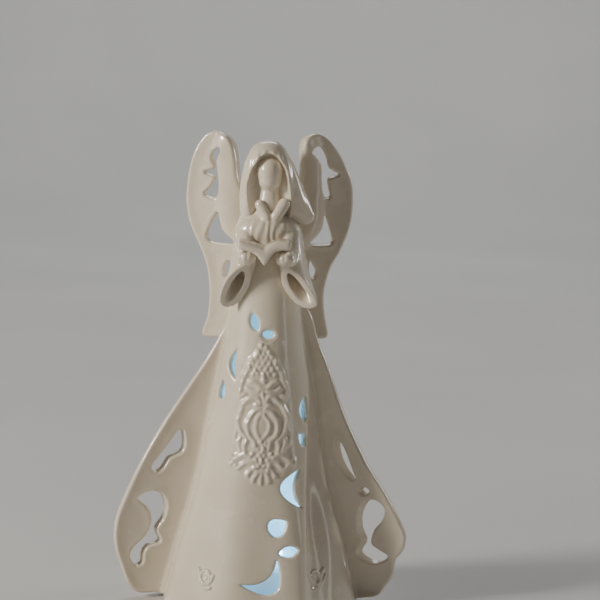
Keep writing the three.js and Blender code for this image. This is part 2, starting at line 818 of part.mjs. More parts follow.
function drape(side, edge, cuts) {
  const inner = waistWidth / 2 - 8;
  const outer = drapeReach + 4;
  const sheet = slab(12, 1, (u, v, face) => {
    const across = inner + (outer - inner) * u;
    const deep = drapeDepth(across) + (face - 0.5) * drapeThickness;
    return new THREE.Vector3(side * across, deep, (drapeTop + 4) * v);
  });
  const near = drapeSet - 1.3 * drapeSweep - drapeThickness;
  const far = drapeSet + drapeThickness;
  const cutter = (outline) => frontPrism(splineShape(outline.map(onDrape), side), near, far);
  const panel = sheet.intersect(cutter(edge));
  const pierced = cuts.reduce((made, cut) => made.subtract(cutter(cut)), panel);
  return trimmed(pierced.subtract(gownSeat).subtract(sleeveSeats[side < 0 ? 0 : 1]));
}
addPiece('left_drape', porcelain, drape(-1, leftDrapeEdge, [wedgeCut, scrollCut]));
addPiece('right_drape', porcelain, drape(1, rightDrapeEdge, [slitCut, beanCut, swirlCut]));

// Wings: tall pierced plates set on the shoulder blades
function wingDepth(across, height) {
  const out = (across - shoulderWidth / 2) / (wingReach - shoulderWidth / 2);
  return wingSet + wingSweep * out + wingLean * (height - bustHeight);
}

// Edges and openings of the wings, in hundredths of the reach and of the height from the foot
const leftWingEdge = [
  [65.5, 100], [78.6, 97.3], [90.3, 89.5], [95.9, 80.5], [98.4, 70.7],
  [98.2, 64.3], [94.6, 56.2], [88, 49.8],
  [79.5, 42.7], [72, 34.7], [68.4, 25.9], [67.9, 17.8], [69.5, 10.4], [74.3, 4.6], [76.1, 1.6], [72.9, 0.1],
  [60.9, 0], [20.3, 0.9], [18.1, 24.3], [15.8, 47.2], [22.6, 57.3],
  [34.8, 62.8], [35.4, 69.6], [35.9, 78.4],
  [38.4, 87.2], [42, 93.5], [50.6, 98.3],
];
const leftWingCuts = [
  [
    [58, 92], [63.9, 91.1], [67.9, 88.6], [68.2, 85.8], [64.6, 82.3],
    [77.4, 79.7], [64.6, 77.5], [69.1, 72.9],
    [77, 69.5], [68.6, 67.6], [61.6, 68.4], [58.7, 71.5], [59.1, 77.1],
    [60.9, 81.9], [61.9, 85.9], [57.8, 89.6],
  ],
  [
    [59.8, 61], [56.9, 57], [54.6, 53], [47.4, 50], [39.3, 47.6], [41.1, 45.9], [55.3, 45.6], [68.6, 46.5],
    [72.2, 49.4], [68.4, 54.4],
  ],
  [[43.3, 36.9], [47.6, 36], [49.7, 32.9], [48.8, 30.2], [44.5, 32.5]],
];
const leftWingRoll = [[51, 94], [50, 87], [48, 78], [47, 69], [45, 60], [38, 53], [28, 48]];
const rightWingEdge = [
  [52.8, 100], [67, 97.7], [79.2, 92.1], [89.8, 85], [98, 76.8], [100, 67.9], [99.1, 59.8], [94.8, 51.7],
  [85.8, 42.7], [75.8, 35.5], [69.8, 27.4], [67.7, 20.9], [69.1, 13.6], [72, 7], [74, 2.8], [71.6, 0.6],
  [60.9, 0.3], [20.3, 0.9], [18.1, 24.3], [15.8, 47.2], [22.6, 57.3],
  [36.1, 61.9], [37.9, 69.2], [37.5, 79.1],
  [36.8, 86.3], [37, 94.3], [41.1, 98.2],
];
const rightWingCuts = [
  [
    [48.5, 91.6], [57.3, 93.7], [63, 91.3], [67.3, 87.6], [70.4, 83.2],
    [83.1, 80.2], [70.2, 78.4], [69.8, 74.3],
    [72.2, 69.6], [66.8, 68.8], [62.3, 72.8], [60.9, 78.4], [59.6, 85.2], [51.9, 89],
  ],
  [
    [66.1, 60.7], [69.8, 57.4], [75.4, 50.1], [76.5, 47.7], [71.8, 46.4],
    [52.4, 46.3], [49.4, 47.3], [59.6, 51],
    [64.6, 55],
  ],
  [[50.6, 38], [53, 36.2], [56.4, 33], [54.6, 30.3], [50.6, 31.5]],
];
const rightWingRoll = [[44, 95], [48, 87], [49, 78], [50, 69], [50, 60], [44, 53], [32, 48]];
const onWing = ([across, up]) => [
  (wingReach * across) / 100,
  wingFoot + ((wingTipHeight - wingFoot) * up) / 100,
];

// Half-round roll along the wing's inner edge, rounded off at both ends
function wingRoll(side, spots) {
  const middle = spots.map(onWing);
  const last = middle.length - 1;
  const rings = middle.map(([across, height], k) => {
    const share = k === 0 || k === last ? 0.55 : 1;
    return Array.from({ length: 12 }, (_, j) => {
      const angle = (2 * Math.PI * j) / 12;
      const x = across + (share * wingRollWidth * Math.sin(angle)) / 2;
      const y = wingDepth(across, height) + (share * wingRollDepth * Math.cos(angle)) / 2;
      return new THREE.Vector3(side * x, y, height);
    });
  });
  return loft(rings);
}

function wing(side, edge, cuts, roll) {
  const inner = 4;
  const outer = wingReach + 4;
  const sheet = slab(1, 1, (u, v, face) => {
    const across = inner + (outer - inner) * u;
    const height = wingFoot - 4 + (wingTipHeight - wingFoot + 8) * v;
    return new THREE.Vector3(side * across, wingDepth(across, height) + (face - 0.5) * wingThickness, height);
  });
  const near = 0;
  const far = wingSet + 2 * wingSweep + wingThickness;
  const cutter = (outline) => frontPrism(splineShape(outline.map(onWing), side), near, far);
  const plate = joined(sheet, wingRoll(side, roll)).intersect(cutter(edge));
  const pierced = cuts.reduce((made, cut) => made.subtract(cutter(cut)), plate);
  const clear = [gownSeat, hairSeat, ...sleeveSeats];
  return trimmed(clear.reduce((made, seat) => made.subtract(seat), pierced));
}
addPiece('left_wing', porcelain, wing(-1, leftWingEdge, leftWingCuts, leftWingRoll));
addPiece('right_wing', porcelain, wing(1, rightWingEdge, rightWingCuts, rightWingRoll));

// Applied reliefs: thin sprigs that follow the gown's surface
function reliefSkin() {
  return gownBody(seam + reliefProud).subtract(gownSeat);
}

// Flat band of even width along a curve through points given as [across, up]
function bandShape(points, width) {
  const curve = new THREE.SplineCurve(points.map(([x, z]) => new THREE.Vector2(x, z)));
  const steps = (points.length - 1) * splineSteps;
  const edge = (offset) =>
    Array.from({ length: steps + 1 }, (_, k) => {
      const way = curve.getTangent(k / steps);
      return curve.getPoint(k / steps).add(new THREE.Vector2(-way.y, way.x).multiplyScalar(offset));
    });
  return new THREE.Shape([...edge(width / 2), ...edge(-width / 2).reverse()]);
}

function flowerShape(x, z, radius, petals) {
  const corners = petals * 4;
  const points = Array.from({ length: corners }, (_, k) => {
    const angle = (2 * Math.PI * k) / corners;
    const reach = radius * (0.86 + 0.14 * Math.cos(petals * angle));
    return new THREE.Vector2(x + reach * Math.sin(angle), z + reach * Math.cos(angle));
  });
  return new THREE.Shape(points);
}

// Scrolls of one half of the medallion, as shares of its half width and its height
const medallionScrolls = [
  [[0.12, 0.66], [0.42, 0.69], [0.7, 0.61], [0.74, 0.5], [0.6, 0.4], [0.36, 0.33], [0.06, 0.27]],
  [[0.03, 0.6], [0.28, 0.54], [0.36, 0.45], [0.22, 0.37], [0.03, 0.31]],
  [[0.1, 0.75], [0.45, 0.8], [0.68, 0.75], [0.6, 0.66]],
  [[0.03, 0.97], [0.3, 0.93], [0.42, 0.86], [0.5, 0.79]],
  [[0.06, 0.25], [0.45, 0.29], [0.92, 0.24], [0.72, 0.16], [0.4, 0.17], [0.2, 0.1], [0.02, 0.03]],
];

function medallion() {
  const place = ([x, share]) => [(medallionWidth / 2) * x, medallionFoot + medallionHeight * share];
  const halves = [-1, 1].flatMap((side) =>
    medallionScrolls.map((scroll) => {
      const line = scroll.map(place).map(([x, z]) => [side * x, z]);
      return bandShape(line, medallionBand);
    }));
  const stems = [[[0, 0], [0, 0.34]], [[0, 0.56], [0, 1]]];
  const bars = stems.map((stem) => bandShape(stem.map(place), medallionBand * 0.8));
  const rosette = flowerShape(...place([0, rosetteShare]), rosetteRadius, 6);
  const prisms = [...halves, ...bars, rosette].map((shape) => frontPrism(shape, -hemDepth, -5));
  return trimmed(reliefSkin().intersect(joined(...prisms)));
}
addPiece('front_medallion', porcelain, medallion());

function hemSprig(angleDegrees) {
  const half = hemSprigSize / 2;
  const middle = footHeight + floorThickness + hemSprigRise + half;
  const centre = gownPoint(angleDegrees * degrees, middle).x;
  return trimmed(reliefSkin().intersect(frontPrism(flowerShape(centre, middle, half, 5), -hemDepth, -5)));
}
addPiece('left_hem_sprig', porcelain, hemSprig(leftSprigTurn));
addPiece('right_hem_sprig', porcelain, hemSprig(rightSprigTurn));

// Battery light: bar along Y, for the hinge
function crossBar(radius, from, to, x, z, sides = smallSides) {
  const geometry = new THREE.CylinderGeometry(radius, radius, to - from, sides);
  return solidOf(geometry.translate(x, (from + to) / 2, z));
}

function pinNotches(radius, length) {
  return [-1, 1].map((side) => {
    const start = side * (doorWidth / 2 - 1);
    const end = side * (doorWidth / 2 + length);
    return crossBar(radius, Math.min(start, end), Math.max(start, end), hingeX, hingeZ);
  });
}

// Base: flange with the battery bay moulded above it and a rebate for the door below
function lightBase() {
  const flange = disc(flangeRadius, flangeLow, flangeTop);
  const bay = box(bayLength + 2 * bayWall, bayWidth + 2 * bayWall, flangeTop - 0.5, bayTop);
  const room = box(bayLength, bayWidth, flangeLow - 1, bayCeiling);
  const rebateTop = flangeLow + doorThickness + seam;
  const rebate = box(doorLength + 2 * seam, doorWidth + 2 * seam, flangeLow - 1, rebateTop);
  const slotLength = knobLength + knobTravel + 2 * seam;
  const slot = box(slotLength, knobWidth + 2 * seam, flangeLow - 1, flangeTop + 1, 0, switchY);
  const tailSlot = plateThickness + 2 * seam;
  const tails = [-1, 1].map((side) =>
    box(tailSlot, tailWidth + 2 * seam, bayCeiling - 1, bayTop + 1, side * tailX, side * cellPitch));
  const holes = screwSpots.flatMap(([x, y]) => [
    moved(disc(screwRadius + seam, flangeLow - 1, flangeTop + 1, smallSides), x, y),
    moved(disc(screwHeadRadius + seam, flangeLow - 1, flangeLow + screwHeadHeight + seam, smallSides), x, y),
  ]);
  const cuts = [room, rebate, slot, ...tails, ...holes, ...pinNotches(pinRadius + seam, pinLength + seam)];
  return cuts.reduce((made, cut) => made.subtract(cut), joined(flange, bay));
}
addPiece('light_base', whitePlastic, lightBase());

// Cover: round cap over the bay, with screw bosses and a ring that holds the board
function lightCover() {
  const cup = revolve([
    [coverRadius - coverWall, coverLow], [coverRadius, coverLow], [coverRadius, coverTop - 1.5],
    [coverRadius - 1.5, coverTop], [0, coverTop], [0, coverCeiling], [coverRadius - coverWall, coverCeiling],
    [coverRadius - coverWall, coverLow],
  ]);
  const bosses = screwSpots.map(([x, y]) =>
    moved(disc(screwBossRadius, coverLow, coverCeiling + 0.5, smallSides), x, y));
  const ringLow = coverCeiling - boardThickness - 1;
  const ring = disc(boardRadius + seam + 1.2, ringLow, coverCeiling + 0.5, smallSides * 2)
    .subtract(disc(boardRadius + seam, coverLow, coverCeiling, smallSides * 2));
  const pilots = screwSpots.map(([x, y]) =>
    moved(disc(screwRadius + seam, coverLow - 1, flangeLow + screwLength + 2 * seam, smallSides), x, y));
  const window = disc(windowRadius, coverLow, coverTop + 1, smallSides * 2);
  return [...pilots, window].reduce((made, cut) => made.subtract(cut), joined(cup, ring, ...bosses));
}
addPiece('light_cover', whitePlastic, lightCover());

// Lens: frosted dome over the window
function lens() {
  const low = lensLow;
  const dome = (radius, height, base) =>
    Array.from({ length: 5 }, (_, k) => {
      const t = (k / 4) * (Math.PI / 2);
      return [radius * Math.cos(t), base + height * Math.sin(t)];
    });
  const inside = dome(lensRadius - lensWall, lensHeight - lensWall, low).reverse();
  const outside = dome(lensRadius, lensHeight - 1, low + 1);
  return revolve([...inside, [lensRadius + 1, low], [lensRadius + 1, low + 1], ...outside], 18);
}
addPiece('light_lens', frostedPlastic, lens());

addPiece('led_board', boardGreen, disc(boardRadius, boardLow, boardTop, smallSides * 2));

function led() {
  const low = boardTop + seam;
  const profile = [[0, low], [ledRadius + 0.4, low], [ledRadius + 0.4, low + 1], [ledRadius, low + 1]];
  for (let k = 0; k <= 4; k++) {
    const t = (k / 4) * (Math.PI / 2);
    profile.push([ledRadius * Math.cos(t), low + ledHeight - ledRadius + ledRadius * Math.sin(t)]);
  }
  return revolve(profile, smallSides);
}
addPiece('led', ledEpoxy, led());

// Cells lie side by side, turned end for end
function turnedAlongX(solid, direction, y) {
  const geometry = geometryOf(solid).rotateY((direction * Math.PI) / 2);
  return solidOf(geometry.translate(0, y, cellHeight));
}

const cellFace = bayLength / 2 - plateThickness - 2 * seam;

function cell(direction, y) {
  const tip = cellFace;
  const shoulder = tip - cellNubLength;
  const tail = tip - cellLength;
  const radius = cellDiameter / 2;
  const body = revolve([
    [0, tail], [radius - 0.4, tail], [radius, tail + 0.4], [radius, shoulder - 0.6], [radius - 0.6, shoulder],
    [cellNubRadius, shoulder], [cellNubRadius, tip], [0, tip],
  ], 14);
  return turnedAlongX(body, direction, y);
}

// Coil springs press on the flat ends of the cells
function contactSpring(direction, y) {
  const start = bayLength / 2 - plateThickness - 2 * seam - springWire / 2;
  const stretch = springLength - springWire - seam;
  const steps = springTurns * 8;
  const points = Array.from({ length: steps + 1 }, (_, k) => {
    const angle = (2 * Math.PI * springTurns * k) / steps;
    const x = -direction * (start - (stretch * k) / steps);
    const height = cellHeight + springRadius * Math.sin(angle);
    return new THREE.Vector3(x, y + springRadius * Math.cos(angle), height);
  });
  const gaps = points.flatMap((p, i) => points.slice(i + 6).map((q) => p.distanceTo(q) - springWire));
  console.log(`contact spring: least gap to itself ${Math.min(...gaps).toFixed(2)} mm`);
  const section = new THREE.Shape();
  for (let k = 0; k < 5; k++) {
    const angle = (2 * Math.PI * k) / 5;
    const [x, z] = [(springWire / 2) * Math.cos(angle), (springWire / 2) * Math.sin(angle)];
    if (k) section.lineTo(x, z);
    else section.moveTo(x, z);
  }
  const options = { steps, extrudePath: new THREE.CatmullRomCurve3(points), bevelEnabled: false };
  return solidOf(new THREE.ExtrudeGeometry(section, options));
}

cellRows.forEach((y, k) => {
  const direction = k % 2 ? 1 : -1;
  addPiece(`battery_${k + 1}`, cellJacket, cell(direction, y));
  addPiece(`contact_spring_${k + 1}`, nickel, contactSpring(direction, y));
});

// Contact plates: two single terminals with solder tails and two links between neighbours
function contactPlate(side, rows, tailRow) {
  const x = side * tailX;
  const low = cellHeight - plateHeight / 2;
  const first = Math.min(...rows) - plateHeight / 2;
  const last = Math.max(...rows) + plateHeight / 2;
  const plate = box(plateThickness, last - first, low, low + plateHeight, x, (first + last) / 2);
  if (tailRow === undefined) return plate;
  return plate.add(box(plateThickness, tailWidth, low + plateHeight - 0.5, tailTop, x, tailRow));
}
addPiece('positive_terminal', nickel, contactPlate(-1, [cellRows[0]], cellRows[0]));
addPiece('negative_terminal', nickel, contactPlate(1, [cellRows[2]], cellRows[2]));
addPiece('left_link_plate', nickel, contactPlate(-1, [cellRows[1], cellRows[2]]));
addPiece('right_link_plate', nickel, contactPlate(1, [cellRows[0], cellRows[1]]));

// Door: flush plate with a rounded hinge edge, two snap-in pins and finger ribs
function batteryDoor() {
  const plateLength = doorLength - doorThickness / 2;
  const plate = box(plateLength, doorWidth, flangeLow, flangeLow + doorThickness, -doorThickness / 4);
  const knuckle = crossBar(doorThickness / 2, -doorWidth / 2, doorWidth / 2, hingeX, hingeZ);
  const grooves = [0, 1, 2, 3].map((k) =>
    box(0.9, doorWidth * 0.4, flangeLow - 1, flangeLow + 0.5, -doorLength / 2 + 4 + 2.2 * k));
  const edgeX = hingeX + doorThickness / 2;
  const edgeCut = box(doorThickness, doorWidth + 1, flangeLow - 1, flangeTop, edgeX);
  const blank = joined(plate.subtract(edgeCut), knuckle, ...pinNotches(pinRadius, pinLength));
  return grooves.reduce((made, cut) => made.subtract(cut), blank);
}
addPiece('battery_door', whitePlastic, batteryDoor());

// Slide switch: body above the flange, knob in the slot, shown switched on
const switchLow = flangeTop + seam;
const switchBody = box(switchLength, switchWidth, switchLow, switchLow + switchHeight, 0, switchY);
addPiece('switch_body', blackPlastic, switchBody);

function switchKnob() {
  const low = knobClearance;
  const x = knobTravel / 2;
  const stem = box(knobLength, knobWidth, low, switchLow - seam, x, switchY);
  const grips = [-1, 0, 1].map((k) => box(0.6, knobWidth + 1, low - 1, low + 0.5, x + 1.2 * k, switchY));
  return grips.reduce((made, cut) => made.subtract(cut), stem);
}
addPiece('switch_knob', blackPlastic, switchKnob());

// Gasket: soft band that grips the socket
addPiece('socket_gasket', siliconeRubber, revolve([
  [coverRadius + seam, footHeight + 0.5], [coverRadius + seam + gasketThickness, footHeight + 0.5],
  [coverRadius + seam + gasketThickness, footHeight + 0.5 + gasketHeight],
  [coverRadius + seam, footHeight + 0.5 + gasketHeight], [coverRadius + seam, footHeight + 0.5],
]));

// Screws that hold the base to the cover
function housingScrew(x, y) {
  const shank = disc(screwRadius, flangeLow + screwHeadHeight - 0.3, flangeLow + screwLength, smallSides);
  const head = disc(screwHeadRadius, flangeLow, flangeLow + screwHeadHeight, smallSides);
  const slot = box(2 * screwHeadRadius + 1, 0.7, flangeLow - 1, flangeLow + 0.6);
  return moved(joined(shank, head).subtract(slot), x, y);
}
screwSpots.forEach(([x, y], k) => addPiece(`housing_screw_${k + 1}`, nickel, housingScrew(x, y)));

// Leads from the terminals and the switch to the board
const leadLift = bayTop + leadRadius + seam;
const switchTop = switchLow + switchHeight;
const tailSide = tailX - plateThickness / 2 - leadRadius - seam;
function lead(points) {
  return tube(along(...points), leadRadius, 14, 2);
}
addPiece('red_lead', redWire, lead([
  [-tailSide, -cellPitch, leadLift], [-tailSide + 6, -cellPitch + 2, leadLift], [-9, -4, leadLift],
  [-5.5, -2.5, leadLift + 0.8], [-5, -2, boardLow - seam],
]));
addPiece('black_lead', blackWire, lead([
  [tailSide, cellPitch, leadLift], [15, 2, leadLift], [7, -12, leadLift], [4.5, -20.4, leadLift],
  [3, -24, leadLift - 3], [3, switchY, switchTop + seam],
]));
addPiece('white_lead', whiteWire, lead([
  [-3, switchY, switchTop + seam], [-3, -24, leadLift - 3], [-3, -20.4, leadLift], [-1, -11, leadLift],
  [1.5, -5, leadLift + 0.6], [2, -4, boardLow - seam],
]));

export default figurine;
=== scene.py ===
# Lighted porcelain angel, dressed in the frame of its solids: metres, +Z up, the angel faces -Y.
import json
import math

import bmesh
import bpy
import numpy as np
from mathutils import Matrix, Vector, geometry, kdtree

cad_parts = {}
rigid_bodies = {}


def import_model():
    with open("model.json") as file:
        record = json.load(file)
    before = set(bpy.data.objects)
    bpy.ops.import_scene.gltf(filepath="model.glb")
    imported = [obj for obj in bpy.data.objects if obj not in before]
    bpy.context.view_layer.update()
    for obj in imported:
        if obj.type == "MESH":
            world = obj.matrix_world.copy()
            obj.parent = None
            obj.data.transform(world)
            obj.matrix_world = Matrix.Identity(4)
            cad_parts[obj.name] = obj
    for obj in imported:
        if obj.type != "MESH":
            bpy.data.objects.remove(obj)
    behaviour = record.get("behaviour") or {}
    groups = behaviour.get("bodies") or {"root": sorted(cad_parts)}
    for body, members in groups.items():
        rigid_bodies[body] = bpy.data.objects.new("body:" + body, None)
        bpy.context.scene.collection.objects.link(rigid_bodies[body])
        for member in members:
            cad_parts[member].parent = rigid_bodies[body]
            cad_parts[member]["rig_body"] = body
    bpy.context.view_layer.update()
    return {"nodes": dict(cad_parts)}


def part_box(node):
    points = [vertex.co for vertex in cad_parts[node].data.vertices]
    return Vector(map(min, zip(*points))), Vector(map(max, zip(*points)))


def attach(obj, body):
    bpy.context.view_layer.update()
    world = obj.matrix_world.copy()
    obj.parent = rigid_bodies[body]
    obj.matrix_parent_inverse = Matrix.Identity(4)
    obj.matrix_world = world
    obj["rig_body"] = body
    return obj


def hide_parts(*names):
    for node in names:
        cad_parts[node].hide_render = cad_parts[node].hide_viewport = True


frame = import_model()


# Gown: a hollow cone of slip-cast porcelain that closes at the neck. Moons, drops and leaves are cut
# through the soft clay with a knife, so that the light inside shows, and their lips are sponged round.
# It is fired under a clear warm glaze that pools a little in the folds.
mm = 0.001
gown_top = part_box("gown")[1].z / mm
gown_rises = np.array([0, 30, 57, 109, 152, 186, 201, gown_top])
gown_widths = np.array([54, 45.5, 37.2, 26.6, 18.9, 15, 13.5, 5.5])
gown_depths = np.array([46, 39.5, 33.5, 24.5, 17.5, 12.5, 10, 6])
gown_wall = 3.2
gown_plan_radius = 30
gown_spacing = 1.65
knee_rise, hip_rise, waist_rise = gown_rises[2:5]
fold_count = 8
fold_depth = 1.25
fold_start = 0.49
pleat_out = 24
pleat_width = 26
pleat_low = 15
pleat_depth_at_hem = 3.6
pleat_deepening = 2.4
hem_radius = 1.3
lip_radius = 1.3
inner_lip_radius = 0.9


class Link:
    """One output of a finish's nodes. Arithmetic on it adds Math nodes."""

    def __init__(self, finish, socket):
        self.finish = finish
        self.socket = socket

    def maths(self, operation, first, second):
        return self.finish.node("ShaderNodeMath", {"operation": operation}, {0: first, 1: second})["Value"]

    def __add__(self, other):
        return self.maths("ADD", self, other)

    def __radd__(self, other):
        return self.maths("ADD", other, self)

    def __mul__(self, other):
        return self.maths("MULTIPLY", self, other)

    def __rmul__(self, other):
        return self.maths("MULTIPLY", other, self)


class Finish:
    """A material and the one way of adding nodes to it."""

    def __init__(self, name):
        self.material = bpy.data.materials.new(name)
        self.material.use_nodes = True
        self.tree = self.material.node_tree
        self.tree.nodes.clear()

    def node(self, kind, settings, sockets):
        made = self.tree.nodes.new(kind)
        for key, value in settings.items():
            if key == "stops":
                ramp = made.color_ramp
                while len(ramp.elements) < len(value):
                    ramp.elements.new(0.5)
                for element, (position, colour) in zip(ramp.elements, value):
                    element.position = position
                    element.color = (*colour, 1)
            else:
                setattr(made, key, value)
        for key, value in sockets.items():
            named = [s for s in made.inputs if key in (s.identifier, s.name)]
            socket = made.inputs[key] if isinstance(key, int) else named[0]
            if isinstance(value, Link):
                self.tree.links.new(value.socket, socket)
            else:
                socket.default_value = value
        return {socket.identifier: Link(self, socket) for socket in made.outputs}

    def place(self):
        return self.node("ShaderNodeTexCoord", {}, {})["Object"]

    def cloud(self, scale, detail):
        sockets = {"Vector": self.place(), "Scale": scale, "Detail": detail}
        return self.node("ShaderNodeTexNoise", {}, sockets)["Fac"]

    def ramp(self, factor, *stops):
        return self.node("ShaderNodeValToRGB", {"stops": stops}, {"Fac": factor})["Color"]

    def span(self, value, low, high):
        sockets = {"Value": value, "From Min": low, "From Max": high}
        return self.node("ShaderNodeMapRange", {}, sockets)["Result"]

    def bumps(self, height, strength, distance):
        sockets = {"Height": height, "Strength": strength, "Distance": distance}
        return self.node("ShaderNodeBump", {}, sockets)["Normal"]

    def surface(self, **sockets):
        named = {key.replace("_", " "): value for key, value in sockets.items()}
        shader = self.node("ShaderNodeBsdfPrincipled", {}, named)["BSDF"]
        self.node("ShaderNodeOutputMaterial", {}, {"Surface": shader})
        return self.material


def porcelain_finish():
    glaze = Finish("porcelain_glaze")
    drift = glaze.cloud(22, 3)
    pools = glaze.cloud(70, 2)
    specks = glaze.span(glaze.cloud(900, 1), 0.74, 0.8)
    tint = glaze.ramp(drift * 0.7 + pools * 0.3, (0.3, (0.72, 0.635, 0.505)), (0.7, (0.81, 0.732, 0.6)))
    speckled = glaze.node("ShaderNodeMix", {"data_type": "RGBA"},
                          {"Factor_Float": specks * 0.25, "A_Color": tint, "B_Color": (0.42, 0.36, 0.29, 1)})
    ripple = glaze.cloud(120, 2) * 0.8 + glaze.cloud(900, 1) * 0.06
    return glaze.surface(
        Base_Color=speckled["Result_Color"],
        Roughness=0.2 + 0.12 * pools,
        IOR=1.5,
        Coat_Weight=0.75 + 0.25 * drift,
        Coat_Roughness=0.06,
        Subsurface_Weight=0.12,
        Subsurface_Radius=(0.9, 0.75, 0.55),
        Subsurface_Scale=0.0012,
        Normal=glaze.bumps(ripple, 0.12, 0.0006),
    )


porcelain = porcelain_finish()


def flowing(stations, values, at):
    """Smooth value between stations."""
    slopes = np.gradient(values, stations)
    i = np.clip(np.searchsorted(stations, at, side="right") - 1, 0, len(stations) - 2)
    span = stations[i + 1] - stations[i]
    t = np.clip((at - stations[i]) / span, 0, 1)
    bend = t * t * (3 - 2 * t)
    ease = t * (1 - t) ** 2 * slopes[i] + t * t * (t - 1) * slopes[i + 1]
    return values[i] + (values[i + 1] - values[i]) * bend + span * ease


def eased(value, low, high):
    t = np.clip((value - low) / (high - low), 0, 1)
    return t * t * (3 - 2 * t)


def gown_folds(angle, height, across):
    """How far the soft folds, the deep pleat on the right and the rounded hem draw the surface in."""
    fade = np.clip(1 - height / hip_rise, 0, 1) ** 1.3
    soft = fold_depth * fade * (1 - np.cos(fold_count * (angle - fold_start)))
    edge = np.arcsin(np.clip(pleat_out / across, 0, 0.97))
    run = (angle - edge) * across / np.minimum(pleat_width, (math.pi / 2 - edge) * across)
    deepest = pleat_depth_at_hem + pleat_deepening * eased(height, pleat_low, knee_rise)
    deepest = deepest * (1 - eased(height, hip_rise, waist_rise))
    pleat = deepest * eased(run, -0.05, 0.3) * (1 - eased(run, 0.3, 1))
    hem = hem_radius - np.sqrt(hem_radius ** 2 - (hem_radius - np.clip(height, 0, hem_radius)) ** 2)
    return soft + pleat + hem


def gown_point(angle, height):
    across = flowing(gown_rises, gown_widths, height)
    deep = flowing(gown_rises, gown_depths, height)
    inset = gown_folds(angle, height, across)
    return np.stack([(across - inset) * np.sin(angle), (inset - deep) * np.cos(angle), height], -1)


def gown_steps(angle, height):
    """The surface's travel for one radian round the gown and for one millimetre of height."""
    nudge, lift = 0.004, 0.1
    turn = (gown_point(angle + nudge, height) - gown_point(angle - nudge, height)) / (2 * nudge)
    climb = (gown_point(angle, height + lift) - gown_point(angle, height - lift)) / (2 * lift)
    return turn, climb


def unit(vectors):
    return vectors / np.linalg.norm(vectors, axis=-1, keepdims=True)


def on_gown(angle, height, depth):
    outward = unit(np.cross(*gown_steps(angle, height)))
    return gown_point(angle, height) - outward * np.asarray(depth)[..., None]


def respaced(loop, step):
    """Closed loop with evenly spaced points, counterclockwise."""
    ends = np.vstack([loop, loop[:1]])
    run = np.concatenate([[0], np.cumsum(np.linalg.norm(np.diff(ends, axis=0), axis=1))])
    at = np.linspace(0, run[-1], max(10, round(run[-1] / step)), endpoint=False)
    even = np.stack([np.interp(at, run, ends[:, k]) for k in (0, 1)], 1)
    x, y = even.T
    area = np.sum(x * np.roll(y, -1) - y * np.roll(x, -1))
    return even if area > 0 else even[::-1]


def rounded(loop, step, passes):
    """Closed loop with its tips rounded off."""
    loop = respaced(np.array(loop, float), 0.25)
    for _ in range(passes):
        loop = 0.5 * loop + 0.25 * (np.roll(loop, 1, 0) + np.roll(loop, -1, 0))
    return respaced(loop, step)


def outset(loop, reach):
    way = np.roll(loop, -1, 0) - np.roll(loop, 1, 0)
    way /= np.linalg.norm(way, axis=1, keepdims=True)
    return loop + reach * np.stack([way[:, 1], -way[:, 0]], 1)


def within(points, loop):
    inside = np.zeros(len(points), bool)
    for (x0, y0), (x1, y1) in zip(loop, np.roll(loop, -1, 0)):
        if y0 != y1:
            crosses = (y0 > points[:, 1]) != (y1 > points[:, 1])
            inside ^= crosses & (points[:, 0] < x0 + (points[:, 1] - y0) * (x1 - x0) / (y1 - y0))
    return inside


lip_shares = (0, 0.13, 0.36, 0.68, 1)


def lip_rings(loop, reach):
    """The loop and the rings that follow it at the steps of a round lip."""
    return [outset(loop, reach * share) for share in lip_shares]


row_share = 0.87
least_share = 0.6


def pierced_plan(border, openings, spacing):
    """Triangles over a flat plan. A border or an opening is a list of rings, the edge itself first."""
    points, shares, links = [], [], []
    for rings in [border, *openings]:
        first = len(points)
        links += [(first + k, first + (k + 1) % len(rings[0])) for k in range(len(rings[0]))]
        for ring, share in zip(rings, lip_shares if len(rings) > 1 else [1]):
            points += list(ring)
            shares += [share] * len(ring)
    low, high = border[0].min(0), border[0].max(0)
    rows = np.arange(low[1], high[1], spacing * row_share)
    columns = np.arange(low[0], high[0], spacing)
    grid = np.array([(x + spacing * 0.5 * (k % 2), y) for k, y in enumerate(rows) for x in columns])
    keep = within(grid, border[-1])
    for rings in openings:
        keep &= ~within(grid, rings[-1])
    near = kdtree.KDTree(len(points))
    for k, (x, y) in enumerate(points):
        near.insert((x, y, 0), k)
    near.balance()
    grid = [p for p in grid[keep] if near.find((p[0], p[1], 0))[2] > least_share * spacing]
    points += grid
    shares = np.array(shares + [1] * len(grid))
    made = geometry.delaunay_2d_cdt([Vector(p) for p in points], links, [], 0, 1e-6)
    plan = np.array([tuple(p) for p in made[0]])
    share = np.array([min([shares[k] for k in origin], default=1) for origin in made[3]])
    faces = np.array([face for face in made[2] if len(face) == 3])
    middles = plan[faces].mean(1)
    keep = within(middles, border[0])
    for rings in openings:
        keep &= ~within(middles, rings[0])
    return plan, share, faces[keep]


def lip_drop(share, radius):
    return radius * (1 - np.sqrt(1 - (1 - share) ** 2))


def cast_wall(front, back, faces, welded=None):
    """Closed wall from matching front and back points, bridged along every free edge."""
    count = len(front)
    edges = np.sort(np.concatenate([faces[:, [0, 1]], faces[:, [1, 2]], faces[:, [2, 0]]]), axis=1)
    edges, uses = np.unique(edges, axis=0, return_counts=True)
    rim = edges[uses == 1]
    if welded is not None:
        rim = rim[~(welded[rim[:, 0]] & welded[rim[:, 1]])]
    skins = [tuple(face) for face in faces] + [tuple(face[::-1] + count) for face in faces]
    bridges = [(a, b, b + count, a + count) for a, b in rim]
    return np.vstack([front, back]), skins + bridges


